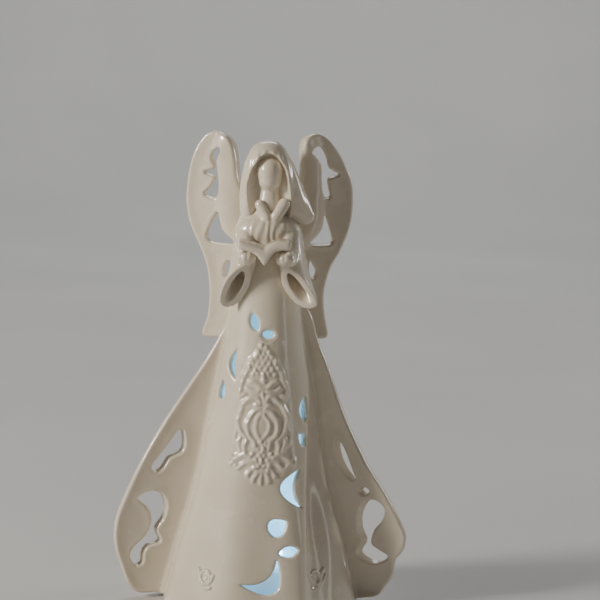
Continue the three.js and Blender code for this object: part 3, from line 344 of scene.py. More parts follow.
def clay_mesh(name, points, faces, merge=0, finishes=(), lined=()):
    """Mesh with outward faces from points in millimetres. The lined faces take the second finish."""
    mesh = bpy.data.meshes.new(name)
    corners = [[int(k) for k in face] for face in faces]
    mesh.from_pydata([tuple(p) for p in np.asarray(points) * mm], [], corners)
    for finish in finishes:
        mesh.materials.append(finish)
    for k in lined:
        mesh.polygons[k].material_index = 1
    shell = bmesh.new()
    shell.from_mesh(mesh)
    if merge:
        bmesh.ops.remove_doubles(shell, verts=shell.verts, dist=merge * mm)
    bmesh.ops.recalc_face_normals(shell, faces=shell.faces)
    shell.to_mesh(mesh)
    shell.free()
    return mesh


def placed(name, data):
    made = bpy.data.objects.new(name, data)
    bpy.context.scene.collection.objects.link(made)
    return made


def figure_piece(name, points, faces, finishes, nodes=(), merge=1e-3, lined=()):
    """Smooth piece of the figure, in place of its solids."""
    mesh = clay_mesh(name, points, faces, merge, finishes, lined)
    mesh.shade_smooth()
    made = placed(name, mesh)
    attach(made, "figurine")
    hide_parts(*nodes)


def bowed(start, control, end):
    t = np.linspace(0, 1, 24, endpoint=False)[:, None]
    return (1 - t) ** 2 * np.array(start) + 2 * t * (1 - t) * np.array(control) + t * t * np.array(end)


def moon(length, bow, band):
    top, foot = (0, length / 2), (0, -length / 2)
    return np.vstack([bowed(top, (-2 * bow, 0), foot), bowed(foot, (-2 * (bow - band), 0), top)])


def leaf(length, width):
    top, foot = (0, length / 2), (0, -length / 2)
    return np.vstack([bowed(top, (-width, 0), foot), bowed(foot, (width, 0), top)])


def full_turn(count):
    return np.linspace(0, 2 * math.pi, count, endpoint=False)


def drop(length, width):
    t = full_turn(48)
    return np.stack([-width / 1.54 * np.sin(t) * np.sin(t / 2), length / 2 * np.cos(t)], 1)


def oval(length, width):
    t = full_turn(48)
    return np.stack([width / 2 * np.cos(t), length / 2 * np.sin(t)], 1)


def gown_opening(shape, degrees, height, turn):
    """Rings of one piercing on the gown's plan of arc by height."""
    angle = np.array(math.radians(degrees))
    height = np.array(float(height))
    turned = math.radians(turn)
    spin = np.array([[math.cos(turned), math.sin(turned)], [-math.sin(turned), math.cos(turned)]])
    across, climb = (np.linalg.norm(step) for step in gown_steps(angle, height))
    rings = lip_rings(rounded(shape, step=0.7, passes=6) @ spin, lip_radius)
    centre = np.array([angle * gown_plan_radius, height])
    return [centre + ring * np.array([gown_plan_radius / across, 1 / climb]) for ring in rings]


gown_openings = [
    gown_opening(leaf(10, 5), -17, 151, 20),
    gown_opening(oval(4.2, 6.5), 6, 145, 0),
    gown_opening(moon(15, 5.5, 4.2), -39, 129, 6),
    gown_opening(drop(10, 6), -60, 115, 8),
    gown_opening(moon(15, 5.6, 5.2), 58, 105, 0),
    gown_opening(drop(7, 5.5), 46, 91, 40),
    gown_opening(moon(20, 11.6, 7.2), 37.5, 66, -4),
    gown_opening(drop(10.5, 9), 14.5, 47.5, -60),
    gown_opening(leaf(11, 5.4), 21, 35, -80),
    gown_opening(moon(22.5, 13, 7.4), 1, 25, 125),
]
gown_edge = math.pi * gown_plan_radius
gown_sides = np.linspace(0, gown_top, 141)
gown_ends = np.linspace(-gown_edge, gown_edge, 111)
gown_border = np.vstack([
    np.stack([gown_ends[:-1], 0 * gown_ends[:-1]], 1),
    np.stack([gown_edge + 0 * gown_sides[:-1], gown_sides[:-1]], 1),
    np.stack([gown_ends[:0:-1], gown_top + 0 * gown_ends[:0:-1]], 1),
    np.stack([-gown_edge + 0 * gown_sides[:0:-1], gown_sides[:0:-1]], 1),
])
plan, share, faces = pierced_plan([gown_border], gown_openings, gown_spacing)
angle, height = plan[:, 0] / gown_plan_radius, plan[:, 1]
thin = np.minimum(gown_wall, 0.5 * flowing(gown_rises, gown_depths, height))
outside = on_gown(angle, height, lip_drop(share, lip_radius))
inside = on_gown(angle, height, thin - lip_drop(share, inner_lip_radius))
inside[:, 2] = np.clip(inside[:, 2], 0, gown_top)
socket_radius = 36
recess_radius = 40
recess_top = 5
floor_top = 9
floor_margin = 0.3
floor_slope = 0.8
least = recess_radius + floor_margin - floor_slope * np.clip(inside[:, 2] - floor_top, 0, None)
reach = np.hypot(inside[:, 0], inside[:, 1])
inside[:, :2] *= (np.maximum(reach, least) / reach)[:, None]
seam_side = np.abs(np.abs(plan[:, 0]) - gown_edge) < 1e-4


def lining_finish():
    """Thin matt glaze inside the gown, given a painted cool glow of its own that stands in for the lamp's
    light spreading to every opening.
    """
    lining = Finish("painted_glow_lining")
    drift = lining.cloud(40, 3)
    tint = lining.ramp(drift, (0.3, (0.86, 0.88, 0.88)), (0.7, (0.92, 0.93, 0.92)))
    # Painted glow: the lining's emission colour, light that the wall gives off though it is no lamp.
    glow = lining.ramp(drift, (0.3, (0.14, 0.5, 0.8)), (0.7, (0.2, 0.57, 0.86)))
    matt = 0.55 + 0.2 * drift
    return lining.surface(Base_Color=tint, Roughness=matt, Emission_Color=glow, Emission_Strength=0.22)


painted_glow_lining = lining_finish()
# The inside faces of the gown take the lining with its painted glow.
figure_piece("gown_cast", *cast_wall(outside, inside, faces, seam_side), [porcelain, painted_glow_lining], ["gown"],
             lined=range(len(faces), 2 * len(faces)))


# Foot: the cast floor inside the hem, with the round socket for the light and a recess for its flange.
# Its underside is wiped free of glaze so that the figure doesn't stick to the kiln shelf.
def bisque_finish():
    clay = Finish("bare_fired_clay")
    grain = clay.cloud(1500, 3)
    stain = clay.cloud(60, 3)
    tint = clay.ramp(stain, (0.35, (0.66, 0.6, 0.51)), (0.65, (0.76, 0.71, 0.63)))
    return clay.surface(Base_Color=tint, Roughness=0.7 + 0.2 * grain, Normal=clay.bumps(grain, 0.3, 0.0002))


foot_count = 144
foot_turns = np.linspace(-math.pi, math.pi, foot_count, endpoint=False)
foot_profile = [
    (recess_radius + 0.7, 0.02), (recess_radius + 0.2, 0.15), (recess_radius, 0.6),
    (recess_radius, recess_top - 0.5), (recess_radius - 0.4, recess_top),
    (socket_radius + 0.6, recess_top), (socket_radius + 0.1, recess_top + 0.2),
    (socket_radius, recess_top + 0.7), (socket_radius, floor_top - 0.7),
    (socket_radius + 0.3, floor_top - 0.2), (socket_radius + 1, floor_top),
]


def level_ring(turns, radius, height):
    return np.stack([radius * np.sin(turns), -radius * np.cos(turns), np.full(len(turns), height)], 1)


def ring_in_hem(height, depth):
    """Ring that follows the gown, at a depth inside its wall."""
    return on_gown(foot_turns, np.full(foot_count, float(height)), np.full(foot_count, depth))


foot_rings = [ring_in_hem(0.02, 0.8)]
foot_rings += [level_ring(foot_turns, *station) for station in foot_profile]
foot_rings += [ring_in_hem(floor_top, 1.6), ring_in_hem(recess_top, 1.6)]


def swept(rings, closed):
    """Faces over rings of equal count; closed rings lead round to the first, open ones are capped."""
    count = len(rings[0])
    faces = []
    for i in range(len(rings) - (0 if closed else 1)):
        for j in range(count):
            a, b = i * count + j, i * count + (j + 1) % count
            c, d = (b + count) % (len(rings) * count), (a + count) % (len(rings) * count)
            faces.append((a, b, c, d))
    if not closed:
        faces.append(tuple(range(count)))
        faces.append(tuple(range((len(rings) - 1) * count, len(rings) * count)))
    return np.vstack(rings), faces


# The top of the floor inside the hem takes the lining with its painted glow, so that it looks lit through the
# lowest openings.
floor_band = len(foot_profile)
figure_piece("foot_ring", *swept(foot_rings, True), [bisque_finish(), painted_glow_lining],
             lined=range(foot_count * floor_band, foot_count * (floor_band + 1)))


# Medallion and hem sprigs: ornament pressed in plaster moulds and luted on to the gown's front with slip.
# The relief is soft, because the glaze fills its hollows.
def fading(distance, reach):
    """1 at no distance, falling softly to nothing over a reach."""
    return np.exp(-((distance / reach) ** 2))


def distance_to(spots, line):
    nearest = np.full(len(spots), 1e9)
    for a, b in zip(line[:-1], line[1:]):
        way = b - a
        t = np.clip(((spots - a) @ way) / max(way @ way, 1e-9), 0, 1)
        nearest = np.minimum(nearest, np.linalg.norm(spots - a - t[:, None] * way, axis=1))
    return nearest


def relief_height(spots, strokes, beads):
    """Height of rounded strokes and beads over the points of a plan, melted into each other."""
    total = np.zeros(len(spots))
    for line, width, rise in strokes:
        total += (rise * fading(distance_to(spots, np.array(line, float)), width)) ** 3
    for x, y, radius, rise in beads:
        total += (rise * fading(np.hypot(spots[:, 0] - x, spots[:, 1] - y), radius)) ** 3
    return np.cbrt(total)


def drawn(points):
    """Smooth open line through points."""
    points = np.array(points, float)
    knots = np.arange(len(points), dtype=float)
    at = np.linspace(0, knots[-1], 6 * (len(points) - 1) + 1)
    return np.stack([flowing(knots, points[:, k], at) for k in (0, 1)], 1)


relief_step = 0.36
relief_least = 0.08
relief_sunk = 0.16
relief_root = 1.2


def luted_relief(name, degrees, centre_height, width, tall, strokes, beads, node):
    """Thin patch that follows the gown, standing proud where the relief does."""
    columns, rows = round(width / relief_step), round(tall / relief_step)
    grid = np.meshgrid(np.linspace(-width / 2, width / 2, columns), np.linspace(-tall / 2, tall / 2, rows))
    x, y = (axis.ravel() for axis in grid)
    spots = np.stack([x, y], 1)
    drift = 0.3 * np.stack([np.sin(0.55 * y + 0.3 * x + 1), np.sin(0.5 * x - 0.35 * y)], 1)
    rise = relief_height(spots + drift, strokes, beads)
    rise *= 1 + 0.15 * np.sin(0.9 * x + 0.5 * y) * np.sin(0.8 * y - 0.4 * x)
    middle = np.full(len(spots), math.radians(degrees))
    height = centre_height + y
    angle = middle + x / np.linalg.norm(gown_steps(middle, height)[0], axis=1)
    shown = rise > relief_least
    for rings in gown_openings:
        shown &= ~within(np.stack([angle * gown_plan_radius, height], 1), rings[-1])
    cells = np.arange(columns * rows).reshape(rows, columns)
    faces = np.stack([cells[:-1, :-1], cells[:-1, 1:], cells[1:, 1:], cells[1:, :-1]], -1).reshape(-1, 4)
    faces = faces[shown[faces].all(1)]
    triangles = np.concatenate([faces[:, [0, 1, 2]], faces[:, [0, 2, 3]]])
    front = on_gown(angle, height, relief_sunk - rise)
    back = on_gown(angle, height, np.full(len(spots), relief_root))
    figure_piece(name, *cast_wall(front, back, triangles), [porcelain], [node])


medallion_half = [
    ([(2.6, 33), (5.6, 29.5), (7.8, 25), (10.6, 19), (12.6, 13.5), (12, 10.2), (10.2, 10.8)], 1.5, 1.15),
    ([(1.6, 14.8), (4.4, 17), (6.4, 17.6)], 1.5, 1.3),
    ([(2.2, 13.2), (5.4, 12.6), (8.6, 14.2)], 1.35, 1.15),
    ([(3.3, 6.4), (2.2, 6), (1.7, 7.6), (3, 9.6), (5.8, 9.3), (9.2, 7), (11.8, 2.5), (12.8, -2.6),
      (11.6, -7.2), (9.3, -10.3)], 1.4, 1.3),
    ([(1.2, 3.8), (4.2, 2.6), (7, -0.8), (7.9, -5), (6.8, -9), (4.6, -12.2), (3.7, -15)], 1.35, 1.25),
    ([(0.9, 1.2), (3, -1.6), (3.5, -5), (2.5, -8.4), (0.9, -11)], 1.2, 1.05),
    ([(13.8, -6.4), (14.6, -10), (13.6, -14)], 1.2, 1.0),
    ([(11.2, -10.4), (12, -13.6), (11, -17.4)], 1.3, 1.15),
    ([(8.2, -12), (9, -15), (8.2, -18.4)], 1.35, 1.2),
    ([(6, -20.4), (9.8, -19.2), (13.6, -21.6), (16.2, -24.6), (17.4, -23), (16.2, -21.6)], 1.45, 1.25),
    ([(4, -23), (8.4, -23.8), (11.8, -26.4), (13.4, -25)], 1.3, 1.1),
    ([(1.8, -24.4), (5, -26.8), (6.8, -29.4)], 1.25, 1.05),
    ([(1.2, -28), (3.2, -30.4), (4, -32.4)], 1.2, 0.95),
]
medallion_strokes = [
    ([(0, 32), (0, 10), (0, -22)], 11.5, 0.55),
    ([(0, 12), (0.4, 7)], 1.4, 1.2),
    ([(0, -12), (0, -18)], 1.2, 1.0),
    ([(0, -21), (0, -26)], 1.2, 1.0),
    ([(0, -29), (0, -34)], 1.1, 0.9),
]
for line, width, rise in medallion_half:
    for side in (-1, 1):
        medallion_strokes.append((drawn([(side * x, y) for x, y in line]), 1.16 * width, rise))
medallion_scales = [(0, 18.6, 1.9, 1.45), (0, 14.4, 1.6, 1.35)]
medallion_turn = 0.5
medallion_height = 103
medallion_width = 46
medallion_tall = 84
scale_radius = 1.5
scale_pitch = 2.9
scale_slip = 0.5
loose = np.random.default_rng(7)


def scale_row(middle, count, height):
    """One row of pressed scales, none quite in line."""
    for k in range(count):
        x = middle + (k - (count - 1) / 2) * scale_pitch + loose.uniform(-scale_slip, scale_slip)
        y = height + loose.uniform(-scale_slip, scale_slip)
        medallion_scales.append((x, y, scale_radius, loose.uniform(1.0, 1.5)))


for row, count in enumerate((2, 3, 4, 5, 6, 5)):
    scale_row(0, count, 35.6 - 2.8 * row)
for row, count in enumerate((2, 3, 4, 3, 4, 3)):
    scale_row(0.3, count, -13.4 - 2.9 * row)
luted_relief("front_medallion_relief", medallion_turn, medallion_height, medallion_width, medallion_tall,
             medallion_strokes, medallion_scales, "front_medallion")

sprig_height = 19
sprig_size = 15
sprig_turns = np.linspace(0, 2 * math.pi, 25)
sprig_ring = (np.stack([0.5 + 2.9 * np.sin(sprig_turns), 0.6 + 3.1 * np.cos(sprig_turns)], 1), 0.9, 1.05)
sprig_strokes = [
    sprig_ring,
    (drawn([(0.4, -2.6), (-2.6, -0.4), (-3.6, 3), (-5, 4.6)]), 0.9, 0.95),
    (drawn([(-5.4, 1.2), (-3.8, -1.2), (-1.6, -2.8), (1.4, -4.6), (4.4, -4.2)]), 0.9, 0.95),
    (drawn([(3, -2.4), (4.6, -0.2), (4.8, 2.6)]), 0.85, 0.85),
    (drawn([(-0.4, 1.9), (0.8, 2.2), (1.6, 0.9), (0.8, -0.4)]), 0.7, 0.8),
]
for side, label, degrees in ((1, "left", -36), (-1, "right", 43)):
    strokes = [(line * (side, 1), width, rise) for line, width, rise in sprig_strokes]
    heart = [(0.2 * side, 0.3, 0.8, 0.6)]
    luted_relief(label + "_hem_relief", degrees, sprig_height, sprig_size, sprig_size, strokes, heart,
                 label + "_hem_sprig")


# Side drapes: two sheets of clay cut with scrolls, curved forward a little and luted to the gown from the
# waist to the hem. The free edge is rolled, and slip is smoothed into the joint.
def looped(points, step=0.9, passes=10):
    """Closed smooth loop through points."""
    points = np.array(points, float)
    around = np.vstack([points[-2:], points, points[:3]])
    knots = np.arange(-2, len(points) + 3, dtype=float)
    at = np.linspace(0, len(points), 12 * len(points), endpoint=False)
    curve = np.stack([flowing(knots, around[:, k], at) for k in (0, 1)], 1)
    return rounded(curve, step, passes)


def gap_to_gown(points):
    across = flowing(gown_rises, gown_widths, points[:, 2])
    deep = flowing(gown_rises, gown_depths, points[:, 2])
    angle = np.arctan2(points[:, 0] / across, -points[:, 1] / deep)
    skin = gown_point(angle, points[:, 2])
    return np.hypot(points[:, 0], points[:, 1]) - np.hypot(skin[:, 0], skin[:, 1])


sheet_rim_round = 1.7
sheet_cut_round = 1.5
sheet_lip_drop = 1.6
sheet_foot = 0.3
slip_radius = 3.0
slip_sunk = 2.5
slant_fade = 4


def fillet(gap):
    """Half the extra thickness that smoothed slip adds where a sheet meets the gown."""
    reach = np.clip(slip_radius - gap, 0, 0.9 * slip_radius)
    sunk = np.clip(1 + gap / slip_sunk, 0, 1)
    return sunk * (slip_radius - np.sqrt(slip_radius ** 2 - reach ** 2))


def sheet_piece(name, side, outline, openings, depth_at, thickness_at, node, spacing, slant):
    """Upright pierced sheet drawn from the front as [out from the axis, height], its cuts slanted."""
    border = looped(outline)
    cuts = [looped(cut, step=0.7, passes=5) for cut in openings]
    cut_lips = [lip_rings(cut, sheet_cut_round) for cut in cuts]
    plan, share, faces = pierced_plan(lip_rings(border, -sheet_rim_round), cut_lips, spacing)

    def middle(spots):
        return np.stack([spots[:, 0], depth_at(spots), spots[:, 1]], 1)

    nudge = 0.2
    right = middle(plan + (nudge, 0)) - middle(plan - (nudge, 0))
    above = middle(plan + (0, nudge)) - middle(plan - (0, nudge))
    facing = unit(np.cross(right, above))
    centre = middle(plan)
    rim = distance_to(plan, np.vstack([border, border[:1]]))
    lips = np.min([distance_to(plan, np.vstack([cut, cut[:1]])) for cut in cuts], axis=0)
    half = thickness_at(plan, rim, lips) / 2 + fillet(gap_to_gown(centre)) - lip_drop(share, sheet_lip_drop)
    leaning = fading(lips, slant_fade) * (1 - fading(rim, slant_fade))
    behind = middle(plan + leaning[:, None] * slant)
    front = centre + facing * half[:, None]
    back = behind - facing * half[:, None]
    for skin in (front, back):
        skin[:, 0] *= side
        skin[:, 2] = np.clip(skin[:, 2], sheet_foot, None)
    figure_piece(name, *cast_wall(front, back, faces), [porcelain], [node])


drape_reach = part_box("right_drape")[1].x / mm
drape_start = 18
drape_behind = 5
drape_sweep = 12
drape_wall = 3.5
drape_rim_roll = 1.5
drape_rim_reach = 3.2
drape_lip_roll = 0.7
drape_lip_reach = 2.4
drape_spacing = 1.25
drape_root_turn = 1.66
drape_root_sunk = 2.2


def drape_depth(spots):
    out = np.clip((spots[:, 0] - drape_start) / (drape_reach - drape_start), 0, 1.1)
    return drape_behind - drape_sweep * out ** 1.4 + 1.2 * np.sin(spots[:, 1] / 17) * out


def drape_thickness(spots, rim, lips):
    rolls = drape_rim_roll * fading(rim, drape_rim_reach) + drape_lip_roll * fading(lips, drape_lip_reach)
    return drape_wall + rolls


drape_root_heights = np.array([2.4, 12, 25, 42, 60, 82, 105, 125, 138, 148])
drape_root_points = gown_point(drape_root_turn + 0 * drape_root_heights, drape_root_heights)
drape_root = [(x - drape_root_sunk, z) for x, y, z in drape_root_points]
left_drape_outline = [
    (15.4, 156), (18.4, 156.4), (21.4, 146.5), (31.5, 127.4), (50.5, 97.9), (63.1, 75.6), (74.2, 50.3),
    (77.4, 37), (76.4, 25.6), (74.4, 19.3), (70, 7.6), (64.7, 2.6), (57, 2.2), *drape_root,
]
wedge_opening = [
    (43.6, 90.6), (41.6, 83.4), (43.2, 78.3), (49.2, 75.3), (52.7, 69.7), (56.7, 67.7), (58.1, 71.4),
    (51.1, 81),
]
scroll_opening = [
    (65.2, 54.1), (58.8, 57.5), (53.3, 55.8), (50.7, 50.5), (51.7, 43.3), (55.5, 36.7), (53.5, 30.1),
    (59.6, 27.8), (62.1, 23.9), (62.6, 18.7), (66.1, 17.4), (68.8, 22.1), (67, 27.2), (61, 33.2),
    (58.1, 40.4), (58.9, 46.6), (62.2, 50.9),
]
sheet_piece("left_drape_cast", -1, left_drape_outline, [wedge_opening, scroll_opening], drape_depth,
            drape_thickness, "left_drape", drape_spacing, slant=(1.2, 0.6))
right_drape_outline = [
    (15.4, 157), (20.8, 157.4), (24.8, 151), (27.6, 141), (34.8, 123.1), (43.4, 100.1), (55.8, 75.3),
    (66.7, 58.7), (75.1, 43), (77.3, 37), (76.1, 29.7), (72.3, 24.1), (71.3, 15.7), (67, 9), (63.5, 4.2),
    (57, 2.4), *drape_root,
]
slit_opening = [
    (39.8, 87.5), (43.8, 81.6), (47.9, 71.6), (49.9, 66.6), (46.4, 66.9), (41.8, 73.3), (38.9, 81.3),
]
bean_opening = [(51.4, 60), (54.4, 62.4), (57.4, 60.5), (54.4, 58.1)]
swirl_opening = [
    (61, 55.6), (55.5, 54.7), (52, 48.2), (52, 39.9), (54.6, 32.8), (52.1, 26.3), (57.6, 22.2), (63.6, 22.2),
    (68.1, 25.8), (63.1, 28.9), (59.1, 32.2), (60.5, 39.6), (64.5, 45.1), (65.5, 51.4),
]
sheet_piece("right_drape_cast", 1, right_drape_outline, [slit_opening, bean_opening, swirl_opening],
            drape_depth, drape_thickness, "right_drape", drape_spacing, slant=(2.4, 0.9))


# Wings: tall pierced plates luted to the shoulder blades. Each has a broad rounded roll along its inner
# edge, a thin field cut with feathers, and a rolled outer rim that flares at the foot.
wing_start = 13.5
wing_span = 29.5
wing_behind = 10
wing_sweep = 11
wing_lean = 0.05
wing_middle = 186
wing_wall = 3.2
wing_rim_roll = 1.6
wing_rim_reach = 3.4
wing_lip_roll = 0.8
wing_lip_reach = 2.2
wing_roll = 5
wing_roll_reach = 6.8
wing_spacing = 1.1


def wing_depth(spots):
    out = (spots[:, 0] - wing_start) / wing_span
    return wing_behind + wing_sweep * out + wing_lean * (spots[:, 1] - wing_middle)


def wing_thickness_along(roll_line):
    """Thickness of a wing whose broad roll follows a line from the tip to the shoulder."""
    roll_line = drawn(roll_line)

    def thickness(spots, rim, lips):
        roll = np.clip(1 - (distance_to(spots, roll_line) / wing_roll_reach) ** 2, 0, 1) ** 0.8
        edges = wing_rim_roll * fading(rim, wing_rim_reach) + wing_lip_roll * fading(lips, wing_lip_reach)
        return wing_wall + edges + wing_roll * roll

    return thickness


wing_root = [(16, 139.6), (14.6, 152), (12.6, 165), (9.6, 180), (7, 190), (8, 201), (9.6, 209), (12.4, 216)]
left_wing_outline = [
    (29, 247.6), (34.8, 244.7), (40, 236.1), (42.5, 226.3), (43.6, 215.6), (43.5, 208.6), (41.9, 199.8),
    (39, 192.8), (35.2, 185.1), (31.9, 176.4), (30.3, 166.8), (30.1, 157.9), (30.8, 149.9), (32.9, 143.5),
    (33.7, 140.2), (32.3, 138.6), (27, 138.5), *wing_root, (15.4, 222), (16.4, 228),
    (17, 233.6), (18.6, 240.5), (22.4, 245.7),
]
left_feather = [
    (25.7, 238.9), (28.3, 237.9), (30.1, 235.2), (30.2, 232.1), (28.6, 228.3), (34.3, 225.5), (28.6, 223),
    (30.6, 218), (34.1, 214.3), (30.4, 212.3), (27.3, 213.1), (26, 216.5), (26.2, 222.6), (27, 227.8),
    (27.4, 232.2), (25.6, 236.2),
]
left_sail = [
    (26.5, 205), (25.2, 200.7), (24.2, 196.3), (21, 193), (17.4, 190.4), (18.2, 188.6), (24.5, 188.2),
    (30.4, 189.2), (32, 192.4), (30.3, 197.8),
]
left_tear = [(19.2, 179.4), (21.6, 178), (22.4, 174.4), (21.8, 170.8), (19.5, 173.6)]
left_roll = [
    (22.6, 241), (22.2, 233.4), (21.3, 223.6), (20.8, 213.8), (19.9, 204), (16.8, 196.3), (12.4, 190.9),
]
right_wing_outline = [
    (23.4, 247.6), (29.7, 245.1), (35.1, 239), (39.8, 231.2), (43.4, 222.3), (44.3, 212.6), (43.9, 203.7),
    (42, 194.9), (38, 185.1), (33.6, 177.2), (30.9, 168.4), (30, 161.3), (30.6, 153.3), (31.9, 146.1),
    (32.8, 141.6), (31.7, 139.2), (27, 138.8), *wing_root, (15.6, 221), (16.4, 226.8),
    (16.3, 232.7), (16.4, 241.4), (18.2, 245.6),
]
right_feather = [
    (21.5, 238.4), (25.4, 240.7), (27.9, 238.1), (29.8, 234.1), (31.2, 229.3), (36.8, 226), (31.1, 224),
    (30.9, 219.6), (32, 214.4), (29.6, 213.6), (27.6, 217.9), (27, 224), (26.4, 231.5), (23, 235.6),
]
right_sail = [
    (29.3, 204.7), (30.9, 201.1), (33.4, 193.2), (33.9, 190.5), (31.8, 189.1), (23.2, 189), (21.9, 190.1),
    (26.4, 194.1), (28.6, 198.5),
]
right_tear = [(22.2, 180.4), (23.9, 178), (25.4, 174.5), (24.4, 171), (22.2, 172.6)]
right_roll = [
    (19.5, 242.1), (21.3, 233.4), (21.7, 223.6), (22.2, 213.8), (22.2, 204), (19.5, 196.3), (14.2, 190.9),
]
for side, label, outline, openings, roll in (
    (-1, "left", left_wing_outline, [left_feather, left_sail, left_tear], left_roll),
    (1, "right", right_wing_outline, [right_feather, right_sail, right_tear], right_roll),
):
    sheet_piece(label + "_wing_cast", side, outline, openings, wing_depth, wing_thickness_along(roll),
                label + "_wing", wing_spacing, slant=(0, 0.6))


# Book: two curved leaves of clay that rise from the fold between them. It is modelled as one thick slab
# with rounded edges, held level in front of the chest and luted to the hands below it.
book_middle = -0.9
book_front = -22.4
book_height = 190.6
book_half_width = 13.9
book_half_depth = 6.8
book_corner = 0.2
book_thick = 4.8
book_round = 2.1
book_rim = 2.2
book_step = 0.8
left_leaf_rise = 4.3
right_leaf_rise = 3.8
spine_thick = 4.4


def squared(wave):
    """A sine or cosine drawn out towards a square, which gives an oblong with round corners."""
    return np.sign(wave) * np.abs(wave) ** book_corner


book_turns = full_turn(200)
book_border = np.stack([
    book_half_width * squared(np.cos(book_turns)), book_half_depth * squared(np.sin(book_turns)),
], 1)
plan, share, faces = pierced_plan(lip_rings(respaced(book_border, book_step), -book_rim), [], book_step)


def on_book(spots, lift):
    x, v = spots.T
    left = left_leaf_rise * (np.abs(x) / book_half_width) ** 0.9
    right = right_leaf_rise * (1 - np.exp(-((np.abs(x) / 3.2) ** 1.3)))
    height = book_height + np.where(x < 0, left, right) + lift + 0.05 * v
    return np.stack([x + book_middle, v + book_front, height], 1)


edge_drop = lip_drop(share, book_round)
front = on_book(plan, -edge_drop)
back = on_book(plan, edge_drop - book_thick - spine_thick * fading(plan[:, 0] - 0.6, 3.4))
figure_piece("open_book_cast", *cast_wall(front, back, faces), [porcelain], ["open_book"])


# Hands: small modelled palms with curled fingers that carry the book from below, on forearms that come out
# of the bells. They are pressed and sponged, so that the fingers run softly into each other.
def ball(centre, radii, turn=0):
    """Closed egg, turned about X by degrees."""
    latitudes = np.linspace(-math.pi / 2, math.pi / 2, 15)[1:-1]
    rings = [level_ring(full_turn(24), math.cos(rise), math.sin(rise)) for rise in latitudes]
    points, faces = swept(rings, False)
    tilt = math.radians(turn)
    lean = np.array([[1, 0, 0], [0, math.cos(tilt), math.sin(tilt)], [0, -math.sin(tilt), math.cos(tilt)]])
    return (points * np.array(radii)) @ lean + np.array(centre), faces


def limb(start, end, first, last):
    """Round bar that tapers between two rounded ends."""
    start, end = np.array(start, float), np.array(end, float)
    way = unit(end - start)
    side = unit(np.cross(way, (0.3, 0.2, 0.93) if abs(way[2]) < 0.9 else (1, 0, 0)))
    other = np.cross(way, side)
    angles = full_turn(20)[:, None]
    bends = np.linspace(0, 1.45, 5)
    rings = [(start - way * first * math.sin(b), first * math.cos(b)) for b in bends[::-1]]
    rings += [(end + way * last * math.sin(b), last * math.cos(b)) for b in bends]
    around = np.cos(angles) * side + np.sin(angles) * other
    return swept([centre + radius * around for centre, radius in rings], False)


def joined_lumps(lumps):
    points, faces = np.zeros((0, 3)), []
    for lump_points, lump_faces in lumps:
        faces += [tuple(k + len(points) for k in face) for face in lump_faces]
        points = np.vstack([points, lump_points])
    return points, faces


def modelled(name, lumps, voxel, smoothing, nodes, cut=None, shaped=None):
    """One smooth body of clay from overlapping lumps. A hollow may be cut out of it, and its skin shaped."""
    draft = placed(name + "_draft", clay_mesh(name + "_draft", *joined_lumps(lumps)))

    def melt(label):
        remesh = draft.modifiers.new(label, "REMESH")
        remesh.mode = "VOXEL"
        remesh.voxel_size = voxel * mm

    melt("melt")
    if cut:
        tool = placed(name + "_tool", clay_mesh(name + "_tool", *cut))
        hollow = draft.modifiers.new("hollow", "BOOLEAN")
        hollow.object = tool
        hollow.operation = "DIFFERENCE"
        melt("melt_again")
    sponge = draft.modifiers.new("sponge", "SMOOTH")
    sponge.factor = 0.5
    sponge.iterations = smoothing
    graph = bpy.context.evaluated_depsgraph_get()
    done = bpy.data.meshes.new_from_object(draft.evaluated_get(graph))
    points = np.array([v.co for v in done.vertices]) / mm
    faces = [tuple(p.vertices) for p in done.polygons]
    if shaped:
        points = shaped(points, np.array([v.normal for v in done.vertices]))
    bpy.data.objects.remove(draft)
    if cut:
        bpy.data.objects.remove(tool)
    bpy.data.meshes.remove(done)
    figure_piece(name, points, faces, [porcelain], nodes, merge=1e-5)


palm_y = -22.6
knuckle_y = -26.8
for side, label, palm_x, palm_z in ((-1, "left", -9.8, 184.9), (1, "right", 9.6, 184.8)):
    thumb_root = (palm_x + side * 3.8, -23, palm_z + 1.4)
    thumb_tip = (palm_x + side * 2.2, -26, palm_z + 3.2)
    lumps = [
        ball((palm_x, palm_y, palm_z), (5.2, 5.4, 4.4)),
        limb((side * 12.6, -12, 183.8), (palm_x, -21, palm_z - 0.2), 4, 3.9),
        limb(thumb_root, thumb_tip, 1.9, 1.6),
    ]
    for k in range(4):
        spread = 3.3 - 2.1 * k
        x = palm_x + side * spread
        back = 0.17 * (spread - 0.4) ** 2
        root = (x - side * 0.15 * spread, -24.4 + 0.6 * back, palm_z - 2.6 + 0.4 * back)
        knuckle = (x - side * 0.2, knuckle_y + back, palm_z + 0.2)
        tip = (x - side * 0.4, -26 + back, palm_z + 2.1)
        lumps += [limb(root, knuckle, 1.9, 1.75), limb(knuckle, tip, 1.75, 1.5)]
    modelled(label + "_hand_modelled", lumps, voxel=0.3, smoothing=16, nodes=[label + "_hand"])


# Bodice, sleeves and collar: the chest and the shoulders are built up in clay over the gown's neck and melt
# into two arms that open into long hanging bells with thick lips. Two rolls make the V of the collar, and the
# cloth below it is gathered in soft ridges.
def along_path(points, t):
    points = np.array(points, float)
    knots = np.linspace(0, 1, len(points))
    return np.stack([flowing(knots, points[:, k], t) for k in range(3)], -1)


sleeve_wall = 3.9
arm_girth = 5.8
bell_long = 13.2
bell_wide = 6.9
bell_pinch = 0.3
bell_corner = 2.6


